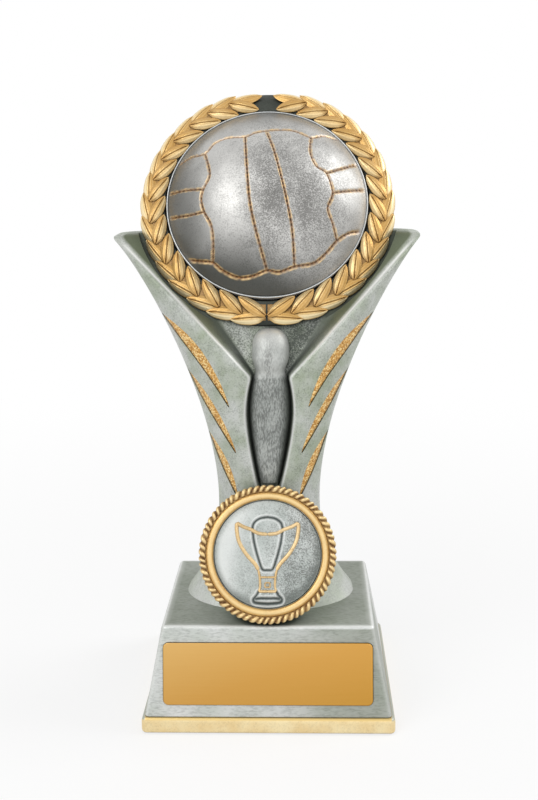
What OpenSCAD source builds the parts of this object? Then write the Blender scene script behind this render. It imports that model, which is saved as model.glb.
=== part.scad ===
// Cast resin award: a ball dome in a laurel wreath, carried by a V-armed figure on a pyramid base.
// X runs to the right, Y to the back and Z up. The origin is under the middle of the base.

/* [Base] */
// Width of the gilded foot band
base_w = 60; // [52:0.5:72]
// Depth of the gilded foot band
base_d = 54; // [48:0.5:64]
// Height of the gilded foot band
band_h = 3.7; // [2.5:0.1:6]
// How far the band narrows from its bottom to its top, on each side
band_flare = 0.6; // [0:0.1:1.5]
// Width of the small ledge between the band and the block
band_ledge = 0.2; // [0.1:0.1:1.5]
// Height of the block above the band
block_h = 20.9; // [17:0.1:28]
// How far each side of the block leans in
side_slope = 4.1; // [1:0.1:6]
// How far the front of the block leans in
front_slope = 5; // [1:0.1:6]
// How far the back of the block leans in
back_slope = 5.2; // [1:0.1:6]
// Radius of the upright corners of the band and the block
corner_r = 1.1; // [0.5:0.1:2.5]
// Size of the soft edge round the top of the block
top_edge = 0.5; // [0.2:0.1:1]
// How far the felt stands below the band
foot_lift = 0.3; // [0.1:0.1:0.6]
// Thickness of the felt pad
felt_t = 1; // [0.7:0.1:1.5]
// Width of bare band round the felt pad
felt_margin = 3; // [2:0.5:6]

/* [Nameplate] */
// Width of the nameplate
plate_w = 49.4; // [36:0.2:50]
// Height of the nameplate
plate_h = 14.6; // [10:0.2:15.5]
// Thickness of the nameplate
plate_t = 0.6; // [0.4:0.1:1]
// Corner radius of the nameplate
plate_r = 1.2; // [0.6:0.1:3]
// Thickness of the adhesive sheet behind the nameplate
tape_t = 0.3; // [0.1:0.1:0.5]
// Depth of the recess that the nameplate sits in
plate_recess = 0.5; // [0.3:0.1:1]

/* [Column] */
// Height of the column above the block
col_h = 89.6; // [84:0.2:96]
// How far each arm tip reaches out past the backing ring of the wreath
tip_reach = 6.7; // [5:0.1:10]
// Width of the waist
waist_w = 25.2; // [23:0.2:29]
// Height of the waist above the block
waist_h = 25.1; // [22:0.2:29]
// Width of the flared foot
foot_w = 42; // [36:0.5:46]
// Distance from the middle of the base to the front of the foot
foot_front = 12.5; // [10:0.1:14]
// Distance from the middle of the base to the back of the foot
foot_back = 19.5; // [16:0.1:20]
// Distance from the middle of the base to the front of the waist
waist_front = 7.5; // [6.5:0.1:9]
// Distance from the middle of the base to the back of the waist
waist_back = 13.5; // [12:0.1:16]
// How far the shoulders lie below the backing ring of the wreath
shoulder_drop = 13.2; // [11:0.1:16]
// Distance from the middle of the base to the front of the shoulders
shoulder_front = 6.6; // [5.5:0.1:8]
// How far the arm tips lie behind the front of the shoulders
tip_setback = 9.6; // [8:0.1:12]
// Distance from the middle of the base to the back of the arms
tip_back = 22; // [20:0.1:25]
// Width of the narrow outer face left at the arm tips
tip_face = 0.3; // [0.2:0.1:1]
// Width of the inner slope of the arms at their tips
bevel_top_w = 8; // [6:0.1:10]
// Depth of the inner slope of the arms at their tips
bevel_top_depth = 5.4; // [4:0.1:7]
// How far the figure stands to the right of the middle
figure_offset = 0.9; // [0:0.1:1.5]

/* [Figure] */
// Greatest width of the lens recess round the torso
lens_w = 11.5; // [10:0.1:13]
// Depth of the lens recess
lens_depth = 3.3; // [2.5:0.1:4]
// Height of the lower end of the lens recess above the block
lens_low_h = 19; // [17:0.1:21]
// Gap between the torso and the edge of the lens recess
torso_gap = 1.2; // [0.8:0.1:1.8]
// Height of the lower end of the torso above the block
torso_low_h = 30.6; // [30:0.1:34]
// How far the torso swells out of its recess
torso_swell = 2.8; // [2:0.1:3.4]
// Width of the head
head_w = 8.9; // [7:0.1:10]
// Height of the head
head_h = 11; // [9:0.1:12]
// Height of the top of the head above the shoulders
head_rise = 10.9; // [9:0.1:11.4]
// How far the head stands out
head_swell = 4.4; // [3:0.1:5]
// Width of the neck
neck_w = 6.2; // [4.5:0.1:6.5]

/* [Slashes] */
// Greatest width of the gilded slashes
slash_w = 1.8; // [1.2:0.1:2.2]
// Depth of the slots that hold the gilding
slash_depth = 0.9; // [0.6:0.1:1.2]
// How far the gilding lies below the surface
slash_sink = 0.2; // [0.1:0.1:0.4]

/* [Ball] */
// Diameter of the ball dome
dome_d = 49.4; // [46:0.2:51]
// Height of the ball dome over its rim
dome_h = 12; // [9:0.5:15]
// Thickness of the cylindrical rim of the dome
dome_rim_t = 2; // [1.5:0.1:2.4]
// Width of the bright lip round the dome
lip_w = 0.4; // [0.3:0.1:0.8]
// Width of the seam grooves
seam_w = 0.6; // [0.4:0.05:0.9]
// Depth of the seam grooves
seam_depth = 0.45; // [0.3:0.05:0.7]

/* [Wreath] */
// Outer diameter of the backing ring, as a share of the dome's
ring_share = 1.247; // [1.22:0.001:1.28]
// Thickness of the backing ring
ring_t = 6.5; // [6:0.1:8]
// How far the outer edge of the ring's face lies behind the rim of the dome
ring_fall = 2.2; // [2:0.1:3]
// How far the rim of the dome stands out of its pocket
rim_stand = 0.7; // [0.3:0.1:1]
// Thickness of the adhesive foam behind the dome
dome_pad_t = 0.9; // [0.5:0.1:1.2]
// Backward lean of the wreath
ring_lean = 28; // [24:0.5:32]
// Height of the wreath's middle above the column's top
ring_rise = 6.9; // [5:0.1:9]
// Distance of the wreath's middle behind the middle of the base
ring_setback = 12.2; // [11:0.1:13.5]
// Number of leaf pairs in each branch
leaf_pairs = 15; // [12:1:17]
// Length of the outer leaves, as a share of the backing ring
outer_leaf_share = 0.137; // [0.12:0.001:0.15]
// Length of the inner leaves, as a share of the backing ring
inner_leaf_share = 0.125; // [0.11:0.001:0.135]
// Width of the outer leaves, as a share of the backing ring
leaf_w_share = 0.055; // [0.045:0.001:0.06]
// Width of the inner leaves, as a share of the backing ring
inner_leaf_w_share = 0.047; // [0.04:0.001:0.05]
// Thickness of a leaf at its midrib, as a share of the backing ring
leaf_t_share = 0.025; // [0.02:0.001:0.028]

/* [Medallion] */
// Diameter of the centre disc
disc_d = 25.4; // [22:0.1:26]
// Thickness of the centre disc
disc_t = 1.6; // [1.2:0.1:2.2]
// Thickness of the adhesive foam behind the centre disc
disc_pad_t = 0.6; // [0.4:0.1:1]
// Diameter of the medallion holder
holder_d = 31.4; // [31:0.1:32.5]
// Thickness of the medallion holder
holder_t = 5; // [4:0.1:6]
// Diameter of the back end of the holder's tapered boss
boss_d = 20; // [14:0.2:22]
// Length of the holder's tapered boss
boss_l = 5.5; // [4.5:0.1:6]
// Backward lean of the medallion
medal_lean = 21; // [18:0.5:24]
// Height of the medallion's middle above the block
medal_rise = 15.8; // [15.7:0.05:17]
// Distance of the medallion's middle in front of the middle of the base
medal_front = 15.2; // [14:0.1:17]
// Width of the smooth ring inside the rope edge
smooth_w = 1.6; // [1.2:0.1:1.8]
// Height of the smooth ring
smooth_h = 1; // [0.7:0.1:1.4]
// Diameter of the rope edge's cord
rope_d = 1.9; // [1.6:0.1:2.2]
// Number of strands seen round the rope edge
rope_turns = 72; // [48:1:80]
// Depth of the furrows between the strands
rope_furrow = 0.26; // [0.1:0.02:0.35]
// Height of the cup emblem over the disc
cup_relief_t = 0.35; // [0.2:0.05:0.6]

/* [Fixings] */
// Diameter of the column stud
stud_d = 4; // [3:0.1:5]
// Outer diameter of the threaded insert
insert_d = 7; // [6:0.1:8]
// Length of the threaded insert
insert_l = 11; // [8:0.5:12]
// Diameter of the counterbore under the base
bore_d = 14; // [12:0.5:16]
// Thickness of the resin over the counterbore
bore_roof = 12; // [9:0.5:14]
// Outer diameter of the washer
washer_d = 12; // [9:0.5:13]
// Thickness of the washer
washer_t = 1; // [0.8:0.1:1.6]
// Width across the flats of the nut
nut_af = 7; // [5.5:0.1:8]
// Thickness of the nut
nut_t = 3.2; // [2.4:0.1:4]
// Distance of the stud behind the middle of the base
stud_setback = 4; // [3:0.1:6]
// Diameter of the two wreath dowels
dowel_d = 3; // [2:0.1:4]
// Length of the two wreath dowels
dowel_l = 7.5; // [5:0.1:9]

/* [Hidden] */

// Clearance between pieces that slide into each other
fit = 0.1;
// Gap left under pieces that are glued on a curved face
glue = 0.06;
// How far a cut runs past the face that it opens
over = 4;
// Smallest width at the ends of tapered strips
fine = 0.12;

// Levels of the base
band_top = foot_lift + band_h;
base_top = band_top + block_h;
band_half_w = base_w / 2;
band_half_d = base_d / 2;
block_half_w = band_half_w - band_flare - band_ledge;
block_half_d = band_half_d - band_flare - band_ledge;
front_lean = atan(front_slope / block_h);
front_slant = norm([front_slope, block_h]);
// Place of the nameplate's middle along the slant of the front
plate_place_share = 0.48;

// A rounded rectangle between two depths, as a thin slab
module slab(z, half_w, front, back, r) {
    translate([0, (back - front) / 2, z])
        linear_extrude(fine)
            offset(r)
                square([2 * (half_w - r), front + back - 2 * r], center = true);
}

module rounded_plate(w, h, r, t) {
    linear_extrude(t)
        offset(r)
            square([w - 2 * r, h - 2 * r], center = true);
}

// The frame of the block's leaning front, with its origin at the nameplate's middle
module on_front() {
    translate([0, -block_half_d, band_top])
        rotate([90 - front_lean, 0, 0])
            translate([0, front_slant * plate_place_share, 0])
                children();
}

module felt_pad() {
    color("dimgray")
        linear_extrude(felt_t)
            offset(corner_r)
                square([base_w - 2 * (felt_margin + corner_r), base_d - 2 * (felt_margin + corner_r)],
                    center = true);
}

module foot_band() {
    color("gold")
        difference() {
            hull() {
                slab(foot_lift, band_half_w - band_flare / 2, band_half_d - band_flare / 2,
                    band_half_d - band_flare / 2, 2 * corner_r, $fn = 32);
                slab(foot_lift + band_flare, band_half_w, band_half_d, band_half_d,
                    2 * corner_r, $fn = 32);
                slab(band_top - fine, band_half_w - band_flare, band_half_d - band_flare,
                    band_half_d - band_flare, 1.5 * corner_r, $fn = 32);
            }
            translate([0, 0, felt_t - over])
                linear_extrude(over)
                    offset(corner_r + fit)
                        square([base_w - 2 * (felt_margin + corner_r),
                            base_d - 2 * (felt_margin + corner_r)], center = true);
            translate([0, stud_setback, -over])
                cylinder(d = bore_d, h = band_top + 2 * over, $fn = 64);
        }
}

module base_block() {
    color("silver")
        difference() {
            hull() {
                slab(band_top, block_half_w, block_half_d, block_half_d, corner_r, $fn = 24);
                slab(base_top - top_edge - fine, block_half_w - side_slope,
                    block_half_d - front_slope, block_half_d - back_slope, corner_r, $fn = 24);
                slab(base_top - fine, block_half_w - side_slope - top_edge,
                    block_half_d - front_slope - top_edge, block_half_d - back_slope - top_edge,
                    corner_r - top_edge / 2, $fn = 24);
            }
            on_front()
                translate([0, 0, -plate_recess])
                    rounded_plate(plate_w + 2 * fit, plate_h + 2 * fit, plate_r + fit,
                        plate_recess + over, $fn = 32);
            translate([0, stud_setback, band_top - over])
                cylinder(d = bore_d, h = block_h - bore_roof + over, $fn = 64);
            translate([0, stud_setback, band_top])
                cylinder(d = stud_d + 2 * fit, h = block_h + over, $fn = 48);
        }
}

module nameplate_tape() {
    color("white")
        on_front()
            translate([0, 0, -plate_recess])
                rounded_plate(plate_w - plate_r, plate_h - plate_r, plate_r, tape_t, $fn = 32);
}

module nameplate() {
    color("goldenrod")
        on_front()
            translate([0, 0, tape_t - plate_recess])
                rounded_plate(plate_w, plate_h, plate_r, plate_t, $fn = 32);
}

// Heights of the fixings in the base
roof_z = base_top - bore_roof;
washer_z = roof_z - washer_t;
nut_z = washer_z - nut_t;
stud_end_z = base_top + insert_l - fit;

module column_stud() {
    color("darkgray")
        translate([0, stud_setback, nut_z - washer_t])
            cylinder(d = stud_d, h = stud_end_z - nut_z + washer_t, $fn = 48);
}

module stud_washer() {
    color("darkgray")
        translate([0, stud_setback, washer_z])
            difference() {
                cylinder(d = washer_d, h = washer_t, $fn = 48);
                translate([0, 0, -over])
                    cylinder(d = stud_d + 2 * fit, h = washer_t + 2 * over, $fn = 48);
            }
}

module stud_nut() {
    color("darkgray")
        translate([0, stud_setback, nut_z])
            difference() {
                cylinder(d = nut_af / cos(30), h = nut_t, $fn = 6);
                translate([0, 0, -over])
                    cylinder(d = stud_d + fit, h = nut_t + 2 * over, $fn = 48);
            }
}

module threaded_insert() {
    color("gold")
        translate([0, stud_setback, base_top])
            difference() {
                cylinder(d = insert_d, h = insert_l, $fn = 48);
                translate([0, 0, -over])
                    cylinder(d = stud_d + fit, h = insert_l + 2 * over, $fn = 48);
            }
}

// The wreath follows the dome, the arm tips and the shoulders follow the wreath, and the head
// follows the shoulders.
ring_d = dome_d * ring_share;
outer_leaf_l = ring_d * outer_leaf_share;
inner_leaf_l = ring_d * inner_leaf_share;
leaf_w = ring_d * leaf_w_share;
inner_leaf_w = ring_d * inner_leaf_w_share;
leaf_t = ring_d * leaf_t_share;
tip_w = ring_d + 2 * tip_reach;
shoulder_h = col_h + ring_rise - ring_d / 2 * cos(ring_lean) - shoulder_drop;
head_top_h = shoulder_h + head_rise;

// The column is a loft of level sections. h is the height above the block.
// Powers of the curves that its outlines follow
foot_curve = 2.4;
arm_curve = 1.78;
setback_curve = 1.15;
back_curve = 1.6;
// Powers that round the back of a section, across and along its depth
back_round_x = 0.7;
back_round_y = 0.8;
// Depth of the widest line of a section, as a share of the section's depth
side_share = 0.45;
// Height of the widest part of the lens, and how fast it narrows above, as shares of the lens
lens_peak_share = 0.76;
lens_top_share = 0.426;
lens_curve = 1.3;
// Share of the lens over which it deepens from its lower end
lens_ramp_share = 0.25;
// Sideways place of the figure along the column, as shares of the height and of the offset
shift_shares = [[0, 0], [0.33, 0.33], [0.7, 1], [0.85, 0.7], [1, 0]];
// Half-width of the furrow under the lens
seam_half = 0.6;
// Width of the steep wall of the lens
lens_wall = 0.5;

function below(h) = max(0, (waist_h - h) / waist_h);
function above(h) = max(0, (h - waist_h) / (col_h - waist_h));
function arm(h) = max(0, (h - shoulder_h) / (col_h - shoulder_h));
function half_w(h) = waist_w / 2 + (foot_w - waist_w) / 2 * pow(below(h), foot_curve)
    + (tip_w - waist_w) / 2 * pow(above(h), arm_curve);
function shoulder_run(h) = min(1, max(0, (h - waist_h) / (shoulder_h - waist_h)));
function front_y(h) = -waist_front - (foot_front - waist_front) * pow(below(h), foot_curve)
    + (waist_front - shoulder_front) * shoulder_run(h)
    + tip_setback * pow(arm(h), setback_curve);
function back_y(h) = waist_back + (foot_back - waist_back) * pow(below(h), foot_curve)
    + (tip_back - waist_back) * pow(above(h), back_curve);
function side_y(h) = front_y(h) + (back_y(h) - front_y(h)) * side_share;
function lens_run(h) = (h - lens_low_h) / (shoulder_h - lens_low_h);
function lens_fall(t) = t < lens_peak_share
    ? pow((lens_peak_share - t) / lens_peak_share, lens_curve)
    : pow((t - lens_peak_share) / lens_top_share, 2);
function lens_half(h) = max(seam_half, lens_w / 2 * (1 - lens_fall(min(1, max(0, lens_run(h))))));
lens_end = lens_half(shoulder_h);
function ridge_x(h) = lens_half(min(h, shoulder_h))
    + (tip_w / 2 - tip_face - lens_end) * arm(h);
function bevel_w(h) = min(lens_wall, ridge_x(h) / 2) + (bevel_top_w - lens_wall) * arm(h);
function web_depth(h) = lens_depth * min(1, max(0, lens_run(h) / lens_ramp_share))
    + (bevel_top_depth - lens_depth) * arm(h);
function web_y(h) = front_y(h) + web_depth(h);
function web_x(h) = ridge_x(h) - bevel_w(h);
function shift(h) = figure_offset * lookup(h / col_h, shift_shares);

// A point of the outer face. a turns from 0 at the ridge to 90 at the widest line.
function face_point(h, a, side) = [
    side * ridge_x(h) + shift(h) + (side * (half_w(h) - ridge_x(h)) - shift(h)) * sin(a),
    front_y(h) + (side_y(h) - front_y(h)) * (1 - cos(a)),
    base_top + h];
// A point of the back. b turns from 0 at the widest line to 90 at the middle of the back.
function back_point(h, b, side) = [
    side * half_w(h) * pow(cos(b), back_round_x),
    side_y(h) + (back_y(h) - side_y(h)) * pow(sin(b), back_round_y),
    base_top + h];

face_turns = [15, 30, 45, 60, 75, 90];
back_turns = [18, 38, 58, 76];
function half_section(h, side) = concat(
    [[side * web_x(h) + shift(h), web_y(h), base_top + h]],
    [face_point(h, 0, side)],
    [for (a = face_turns) face_point(h, a, side)],
    [for (b = back_turns) back_point(h, b, side)]);
function flip(list) = [for (i = [len(list) - 1:-1:0]) list[i]];
function section(h) = concat(
    [[shift(h), web_y(h), base_top + h]],
    half_section(h, 1),
    [[0, back_y(h), base_top + h]],
    flip(half_section(h, -1)));
function steps(from, to, n) = [for (i = [0:n - 1]) from + (to - from) * i / n];
col_levels = concat(steps(0, waist_h, 6), steps(waist_h, shoulder_h, 9),
    steps(shoulder_h, col_h, 9), [col_h]);

// A closed skin over rings of points, each ring with as many points as the next. The diagonals of
// its second half mirror those of the first.
module skin(rings, loop = false) {
    n = len(rings[0]);
    m = len(rings);
    last = loop ? m - 1 : m - 2;
    sides = [for (i = [0:last]) for (j = [0:n - 1])
        let (a = i * n + j, b = i * n + (j + 1) % n,
            c = ((i + 1) % m) * n + (j + 1) % n, d = ((i + 1) % m) * n + j)
        each (j < n / 2 ? [[a, c, b], [a, d, c]] : [[a, d, b], [b, d, c]])];
    ends = loop ? [] : [[for (j = [0:n - 1]) j], [for (j = [n - 1:-1:0]) (m - 1) * n + j]];
    polyhedron(points = [for (ring = rings) each ring], faces = concat(sides, ends), convexity = 8);
}

// The frame of the wreath, with its origin in the rim plane of the dome and Z out of its face
module in_wreath() {
    translate([0, ring_setback, base_top + col_h + ring_rise])
        rotate([90 - ring_lean, 0, 0])
            children();
}

// The frame of the medallion, with its origin in the middle of the disc's face
module in_medal() {
    translate([0, -medal_front, base_top + medal_rise])
        rotate([90 - medal_lean, 0, 0])
            children();
}

// Slashes from the outer edge inward and down. Each row has three heights as shares of the column,
// three distances from the middle as shares of the half-width there, and its share of slash_w.
slash_shares = [
    [0.790, 0.694, 0.553, 0.985, 0.780, 0.560, 1.00],
    [0.640, 0.553, 0.427, 0.990, 0.835, 0.565, 0.92],
    [0.470, 0.392, 0.300, 0.990, 0.800, 0.600, 0.72]];
slash_steps = 5;
// How far each step of a slot laps over the one before, as a share of a step
lap_share = 0.15;
// How blunt the ends of a slash are, and the step that its direction is taken over
slash_taper = 0.8;
step_share = 0.01;

function bend(a, b, c, t) = a * (1 - t) * (1 - 2 * t) + b * 4 * t * (1 - t) + c * t * (2 * t - 1);
function slash_h(s, t) = col_h * bend(s[0], s[1], s[2], t);
function slash_turn(s, t) = let (h = slash_h(s, t), x = half_w(h) * bend(s[3], s[4], s[5], t))
    asin(min(1, max(0, (x - ridge_x(h)) / (half_w(h) - ridge_x(h)))));
function slash_at(s, t, side) = face_point(slash_h(s, t), slash_turn(s, t), side);
function unit(v) = v / norm(v);
function face_normal(s, t, side) =
    let (h = slash_h(s, t), a = slash_turn(s, t),
        up = face_point(h + fine, a, side) - face_point(h - fine, a, side),
        along = face_point(h, a + 1, side) - face_point(h, a - 1, side))
    side * unit(cross(along, up));
function slash_ring(s, t, side, spread, high, low) =
    let (p = slash_at(s, t, side), n = face_normal(s, t, side),
        d = unit(slash_at(s, t + step_share, side) - slash_at(s, t - step_share, side)),
        w = unit(cross(n, d)),
        half = fine + spread + slash_w / 2 * s[6] * pow(sin(180 * pow(t, slash_taper)), slash_taper))
    [p + n * high + w * half, p + n * high - w * half, p + n * low - w * half, p + n * low + w * half];

// The convex solid round a list of points
module wrap(points) {
    hull()
        polyhedron(points = points, faces = [for (i = [2:len(points) - 1]) [i - 2, i - 1, i]]);
}

module slashes(side, spread, high, low, lap = 0) {
    for (s = slash_shares)
        for (i = [1:slash_steps])
            wrap(concat(
                slash_ring(s, max(0, i - 1 - lap) / slash_steps, side, spread, high, low),
                slash_ring(s, i / slash_steps, side, spread, high, low)));
}

// Places of the two dowels, across and down from the wreath's middle
dowel_x = ring_d / 5;
dowel_y = ring_d / 4;

module at_dowels() {
    for (side = [-1, 1])
        translate([side * dowel_x, -dowel_y, -ring_t - dowel_l * 2 / 3])
            children();
}

// Radius that the tips of the outer leaves keep within, and the clearance round it
leaf_overhang_share = 0.35;
leaf_reach = ring_d / 2 + leaf_w * leaf_overhang_share;
leaf_clear = 0.3;

module column() {
    color("silver")
        difference() {
            skin([for (h = col_levels) section(h)]);
            in_wreath() {
                translate([0, 0, -ring_t])
                    cylinder(r = ring_d / 2 + fit, h = ring_d, $fn = 48);
                translate([0, 0, -ring_fall])
                    cylinder(r = leaf_reach + leaf_clear, h = ring_d, $fn = 48);
                at_dowels()
                    cylinder(d = dowel_d + fit, h = dowel_l, $fn = 32);
            }
            in_medal() {
                translate([0, 0, -holder_t])
                    cylinder(d = holder_d + 2 * fit, h = holder_d, $fn = 48);
                translate([0, 0, -holder_t - boss_l])
                    cylinder(d1 = boss_d + 2 * fit, d2 = holder_d + 2 * fit, h = boss_l, $fn = 48);
            }
            translate([0, stud_setback, base_top - over])
                cylinder(d = insert_d + fit, h = insert_l + fit + over, $fn = 48);
            slashes(-1, 0, over, -slash_depth, lap_share);
            slashes(1, 0, over, -slash_depth, lap_share);
        }
}

module slash_inlays_left() {
    color("gold")
        slashes(-1, -fit, -slash_sink, fit - slash_depth);
}

module slash_inlays_right() {
    color("gold")
        slashes(1, -fit, -slash_sink, fit - slash_depth);
}

// The figure is a loft whose flat back follows the recess and the web behind it.
head_mid_h = head_top_h - head_h / 2;
// Swell of the torso at its thin lower end, as a share of its full swell
thin_swell_share = 0.35;
function head_run(h) = (h - head_mid_h) / (head_h / 2);
function head_half(h) = head_w / 2 * sqrt(max(0, 1 - pow(head_run(h), 2)));
function figure_half(h) = h < shoulder_h ? max(fine, lens_half(h) - torso_gap)
    : max(h < head_mid_h ? neck_w / 2 : 2 * fine, head_half(h));
function figure_swell(h) = h < shoulder_h
    ? torso_swell * min(1, thin_swell_share
        + (1 - thin_swell_share) * figure_half(h) / (lens_w / 2 - torso_gap))
    : torso_swell + (head_swell - torso_swell) * sqrt(max(0, 1 - abs(head_run(h))))
        - torso_swell * pow(max(0, head_run(h)), 3);
front_turns = [for (i = [0:10]) 18 * i];
function figure_ring(h) = concat(
    [for (a = front_turns) [shift(h) + figure_half(h) * cos(a),
        web_y(h) - glue - max(fine, figure_swell(h)) * sin(a) - fine, base_top + h]],
    [[shift(h) - figure_half(h), web_y(h) - glue, base_top + h],
        [shift(h) + figure_half(h), web_y(h) - glue, base_top + h]]);
figure_levels = concat(steps(torso_low_h, shoulder_h, 11),
    [for (i = [0:13]) shoulder_h + (head_top_h - shoulder_h) * sin(90 * i / 13)]);

module centre_figure() {
    color("lightgray")
        skin([for (h = figure_levels) flip(figure_ring(h))]);
}

// The space up to just over the block, which trims the lowest edge of the holder
module above_block() {
    translate([-base_w / 2, -base_d, base_top - base_w])
        cube([base_w, 2 * base_d, base_w + fit]);
}

module medallion_holder() {
    color("silver")
        difference() {
            in_medal()
                difference() {
                    union() {
                        translate([0, 0, -holder_t])
                            cylinder(d = holder_d, h = holder_t, $fn = 96);
                        translate([0, 0, -holder_t - boss_l])
                            cylinder(d1 = boss_d, d2 = holder_d, h = boss_l, $fn = 96);
                    }
                    translate([0, 0, -disc_t - disc_pad_t])
                        cylinder(d = disc_d + 2 * fit, h = disc_t + disc_pad_t + over, $fn = 96);
                }
            above_block();
        }
}

// The bezel is one ring: a smooth inner band and a rope edge whose furrows wind round it.
rope_r = rope_d / 2;
bezel_in = disc_d / 2 + 2 * fit;
rope_in = bezel_in + smooth_w;
rope_mid_share = 0.4;
rope_mid_z = rope_r * rope_mid_share;
rope_angles = [140, 80, 20];
// How far a furrow runs on along the cord while it winds round it
rope_twist = 1.3;
smooth_edge_share = 0.22;
function rope_radius(turn, a) =
    rope_r - rope_furrow * (1 + cos(rope_turns * turn + rope_twist * a)) / 2;
function bezel_ring(turn) = [for (p = concat(
        [[bezel_in, glue], [bezel_in + smooth_w * smooth_edge_share, smooth_h],
            [rope_in - smooth_w * smooth_edge_share, smooth_h]],
        [for (a = rope_angles) [rope_in + rope_r + rope_radius(turn, a) * cos(a),
            rope_mid_z + rope_radius(turn, a) * sin(a)]],
        [[holder_d / 2 + fit, glue]]))
    [p[0] * cos(turn), p[0] * sin(turn), p[1]]];

module rope_bezel() {
    color("gold")
        in_medal()
            skin([for (i = [0:3 * rope_turns - 1]) bezel_ring(i * 120 / rope_turns)], true);
}

module disc_pad() {
    color("white")
        in_medal()
            translate([0, 0, -disc_t - disc_pad_t])
                cylinder(d = disc_d - 2 * smooth_w, h = disc_pad_t, $fn = 64);
}

module centre_disc() {
    color("lightgray")
        in_medal()
            translate([0, 0, -disc_t])
                cylinder(d = disc_d, h = disc_t, $fn = 96);
}

// The cup emblem: one half of each line, in shares of the disc's radius
cup_line_share = 0.045;
cup_line = disc_d / 2 * cup_line_share;
cup_shares = [
    [[0, 0.39], [0.22, 0.42], [0.42, 0.5], [0.58, 0.6]],
    [[0.58, 0.6], [0.56, 0.34], [0.47, 0.1], [0.32, -0.11], [0.17, -0.29]],
    [[0, 0.69], [0.13, 0.66], [0.24, 0.58], [0.3, 0.45], [0.27, 0.2], [0.2, -0.05], [0.12, -0.24],
        [0, -0.24]],
    [[0.17, -0.29], [0.13, -0.44], [0.13, -0.62], [0.18, -0.71]],
    [[0.13, -0.44], [0, -0.44]],
    [[0, -0.71], [0.18, -0.71], [0.28, -0.83], [0.25, -0.89], [0, -0.9]]];

module cup_dot(p) {
    translate(p * disc_d / 2)
        circle(d = cup_line, $fn = 8);
}

module cup_outline() {
    for (side = [0, 1])
        mirror([side, 0])
            for (list = cup_shares)
                for (i = [1:len(list) - 1])
                    hull() {
                        cup_dot(list[i - 1]);
                        cup_dot(list[i]);
                    }
}

module cup_relief() {
    color("goldenrod")
        in_medal()
            linear_extrude(cup_relief_t)
                cup_outline();
}

module ring_dowels() {
    color("darkgray")
        in_wreath()
            at_dowels()
                cylinder(d = dowel_d, h = dowel_l, $fn = 32);
}

// The ring's face falls gently from its pocket to the stem, then more steeply to its outer edge.
pocket_r = dome_d / 2 + 4 * fit;
pocket_depth = dome_rim_t + dome_pad_t + fit;
ring_edge = ring_t / 5;
crest_share = 0.14;
crest_fall = rim_stand + (ring_fall - rim_stand) * crest_share;
face_w = ring_d / 2 - pocket_r;
// Radius of the middle of each branch's stem, at the crest
stem_r = pocket_r + face_w / 2;

module wreath_ring() {
    color("darkslategray")
        in_wreath()
            difference() {
                rotate_extrude($fn = 128)
                    polygon([[0, -ring_t], [ring_d / 2 - ring_edge, -ring_t],
                        [ring_d / 2, -ring_t + ring_edge], [ring_d / 2, -ring_fall],
                        [stem_r, -crest_fall], [pocket_r, -rim_stand],
                        [pocket_r, -pocket_depth], [0, -pocket_depth]]);
                at_dowels()
                    cylinder(d = dowel_d + fit, h = dowel_l + fit, $fn = 32);
            }
}

// One leaf along X with its root at the origin: a pointed oval with a raised midrib
leaf_outline_shares = [[0, 0.12], [0.2, 0.42], [0.44, 0.5], [0.75, 0.3], [1, 0]];
leaf_rib_shares = [[0.05, 0.45], [0.4, 1], [0.75, 0.8]];
leaf_keel_shares = [0.1, 0.7];
leaf_low_share = 0.34;
module leaf(l, w) {
    edge = [for (p = leaf_outline_shares) [p[0] * l, p[1] * w]];
    wrap(concat([for (p = edge) [p[0], p[1], 0]], [for (p = edge) [p[0], -p[1], 0]],
        [for (p = leaf_keel_shares) [p * l, 0, -leaf_t * leaf_low_share]],
        [for (p = leaf_rib_shares) [p[0] * l, 0, p[1] * leaf_t * (1 - leaf_low_share)]]));
}

stem_w_share = 0.66;
stem_h_share = 0.2;
stem_w = face_w * stem_w_share;
stem_h = leaf_t * stem_h_share - crest_fall;
stem_fall = crest_fall + (ring_fall - crest_fall) * stem_w / face_w;
// Angles of a branch round the ring, from the bottom, and of the root of its last leaves
branch_start_angle = 0.5;
branch_end_angle = 168;
last_root_angle = 160.5;
// How the leaves turn away from the stem, tilt along their length and roll about it
outer_turn_angle = 4;
inner_turn_angle = 34;
outer_drop_angle = 3;
inner_rise_angle = 4;
outer_roll_angle = 24;
inner_roll_angle = 4;
// Place of the roots: outward of the stem, as a share of the face, and up from the crest, as
// shares of the leaf's thickness
root_out_share = 0.19;
outer_root_share = 0.04;
inner_root_share = 0.27;
root_r = stem_r + face_w * root_out_share;

module branch() {
    rotate([0, 0, branch_start_angle - 90])
        rotate_extrude(angle = branch_end_angle - branch_start_angle, $fn = 96)
            translate([stem_r, fit])
                polygon([[-stem_w / 2, -rim_stand - fit], [0, -crest_fall],
                    [stem_w / 2, -stem_fall], [stem_w / 4, stem_h], [-stem_w / 4, stem_h]]);
    for (i = [0:leaf_pairs - 1]) {
        at = branch_start_angle - 90 + (last_root_angle - branch_start_angle) * i / (leaf_pairs - 1);
        rotate([0, 0, at])
            translate([root_r, 0, -crest_fall]) {
                translate([0, 0, leaf_t * outer_root_share])
                    rotate([outer_roll_angle, outer_drop_angle, 90 - outer_turn_angle])
                        leaf(outer_leaf_l, leaf_w);
                translate([0, 0, leaf_t * inner_root_share])
                    rotate([-inner_roll_angle, -inner_rise_angle, 90 + inner_turn_angle])
                        leaf(inner_leaf_l, inner_leaf_w);
            }
    }
}

module laurel_right() {
    color("gold")
        in_wreath()
            branch();
}

module laurel_left() {
    color("gold")
        in_wreath()
            mirror([1, 0, 0])
                branch();
}

module dome_pad() {
    color("white")
        in_wreath()
            translate([0, 0, -pocket_depth])
                cylinder(d = dome_d - 2 * dome_rim_t, h = dome_pad_t, $fn = 96);
}

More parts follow.
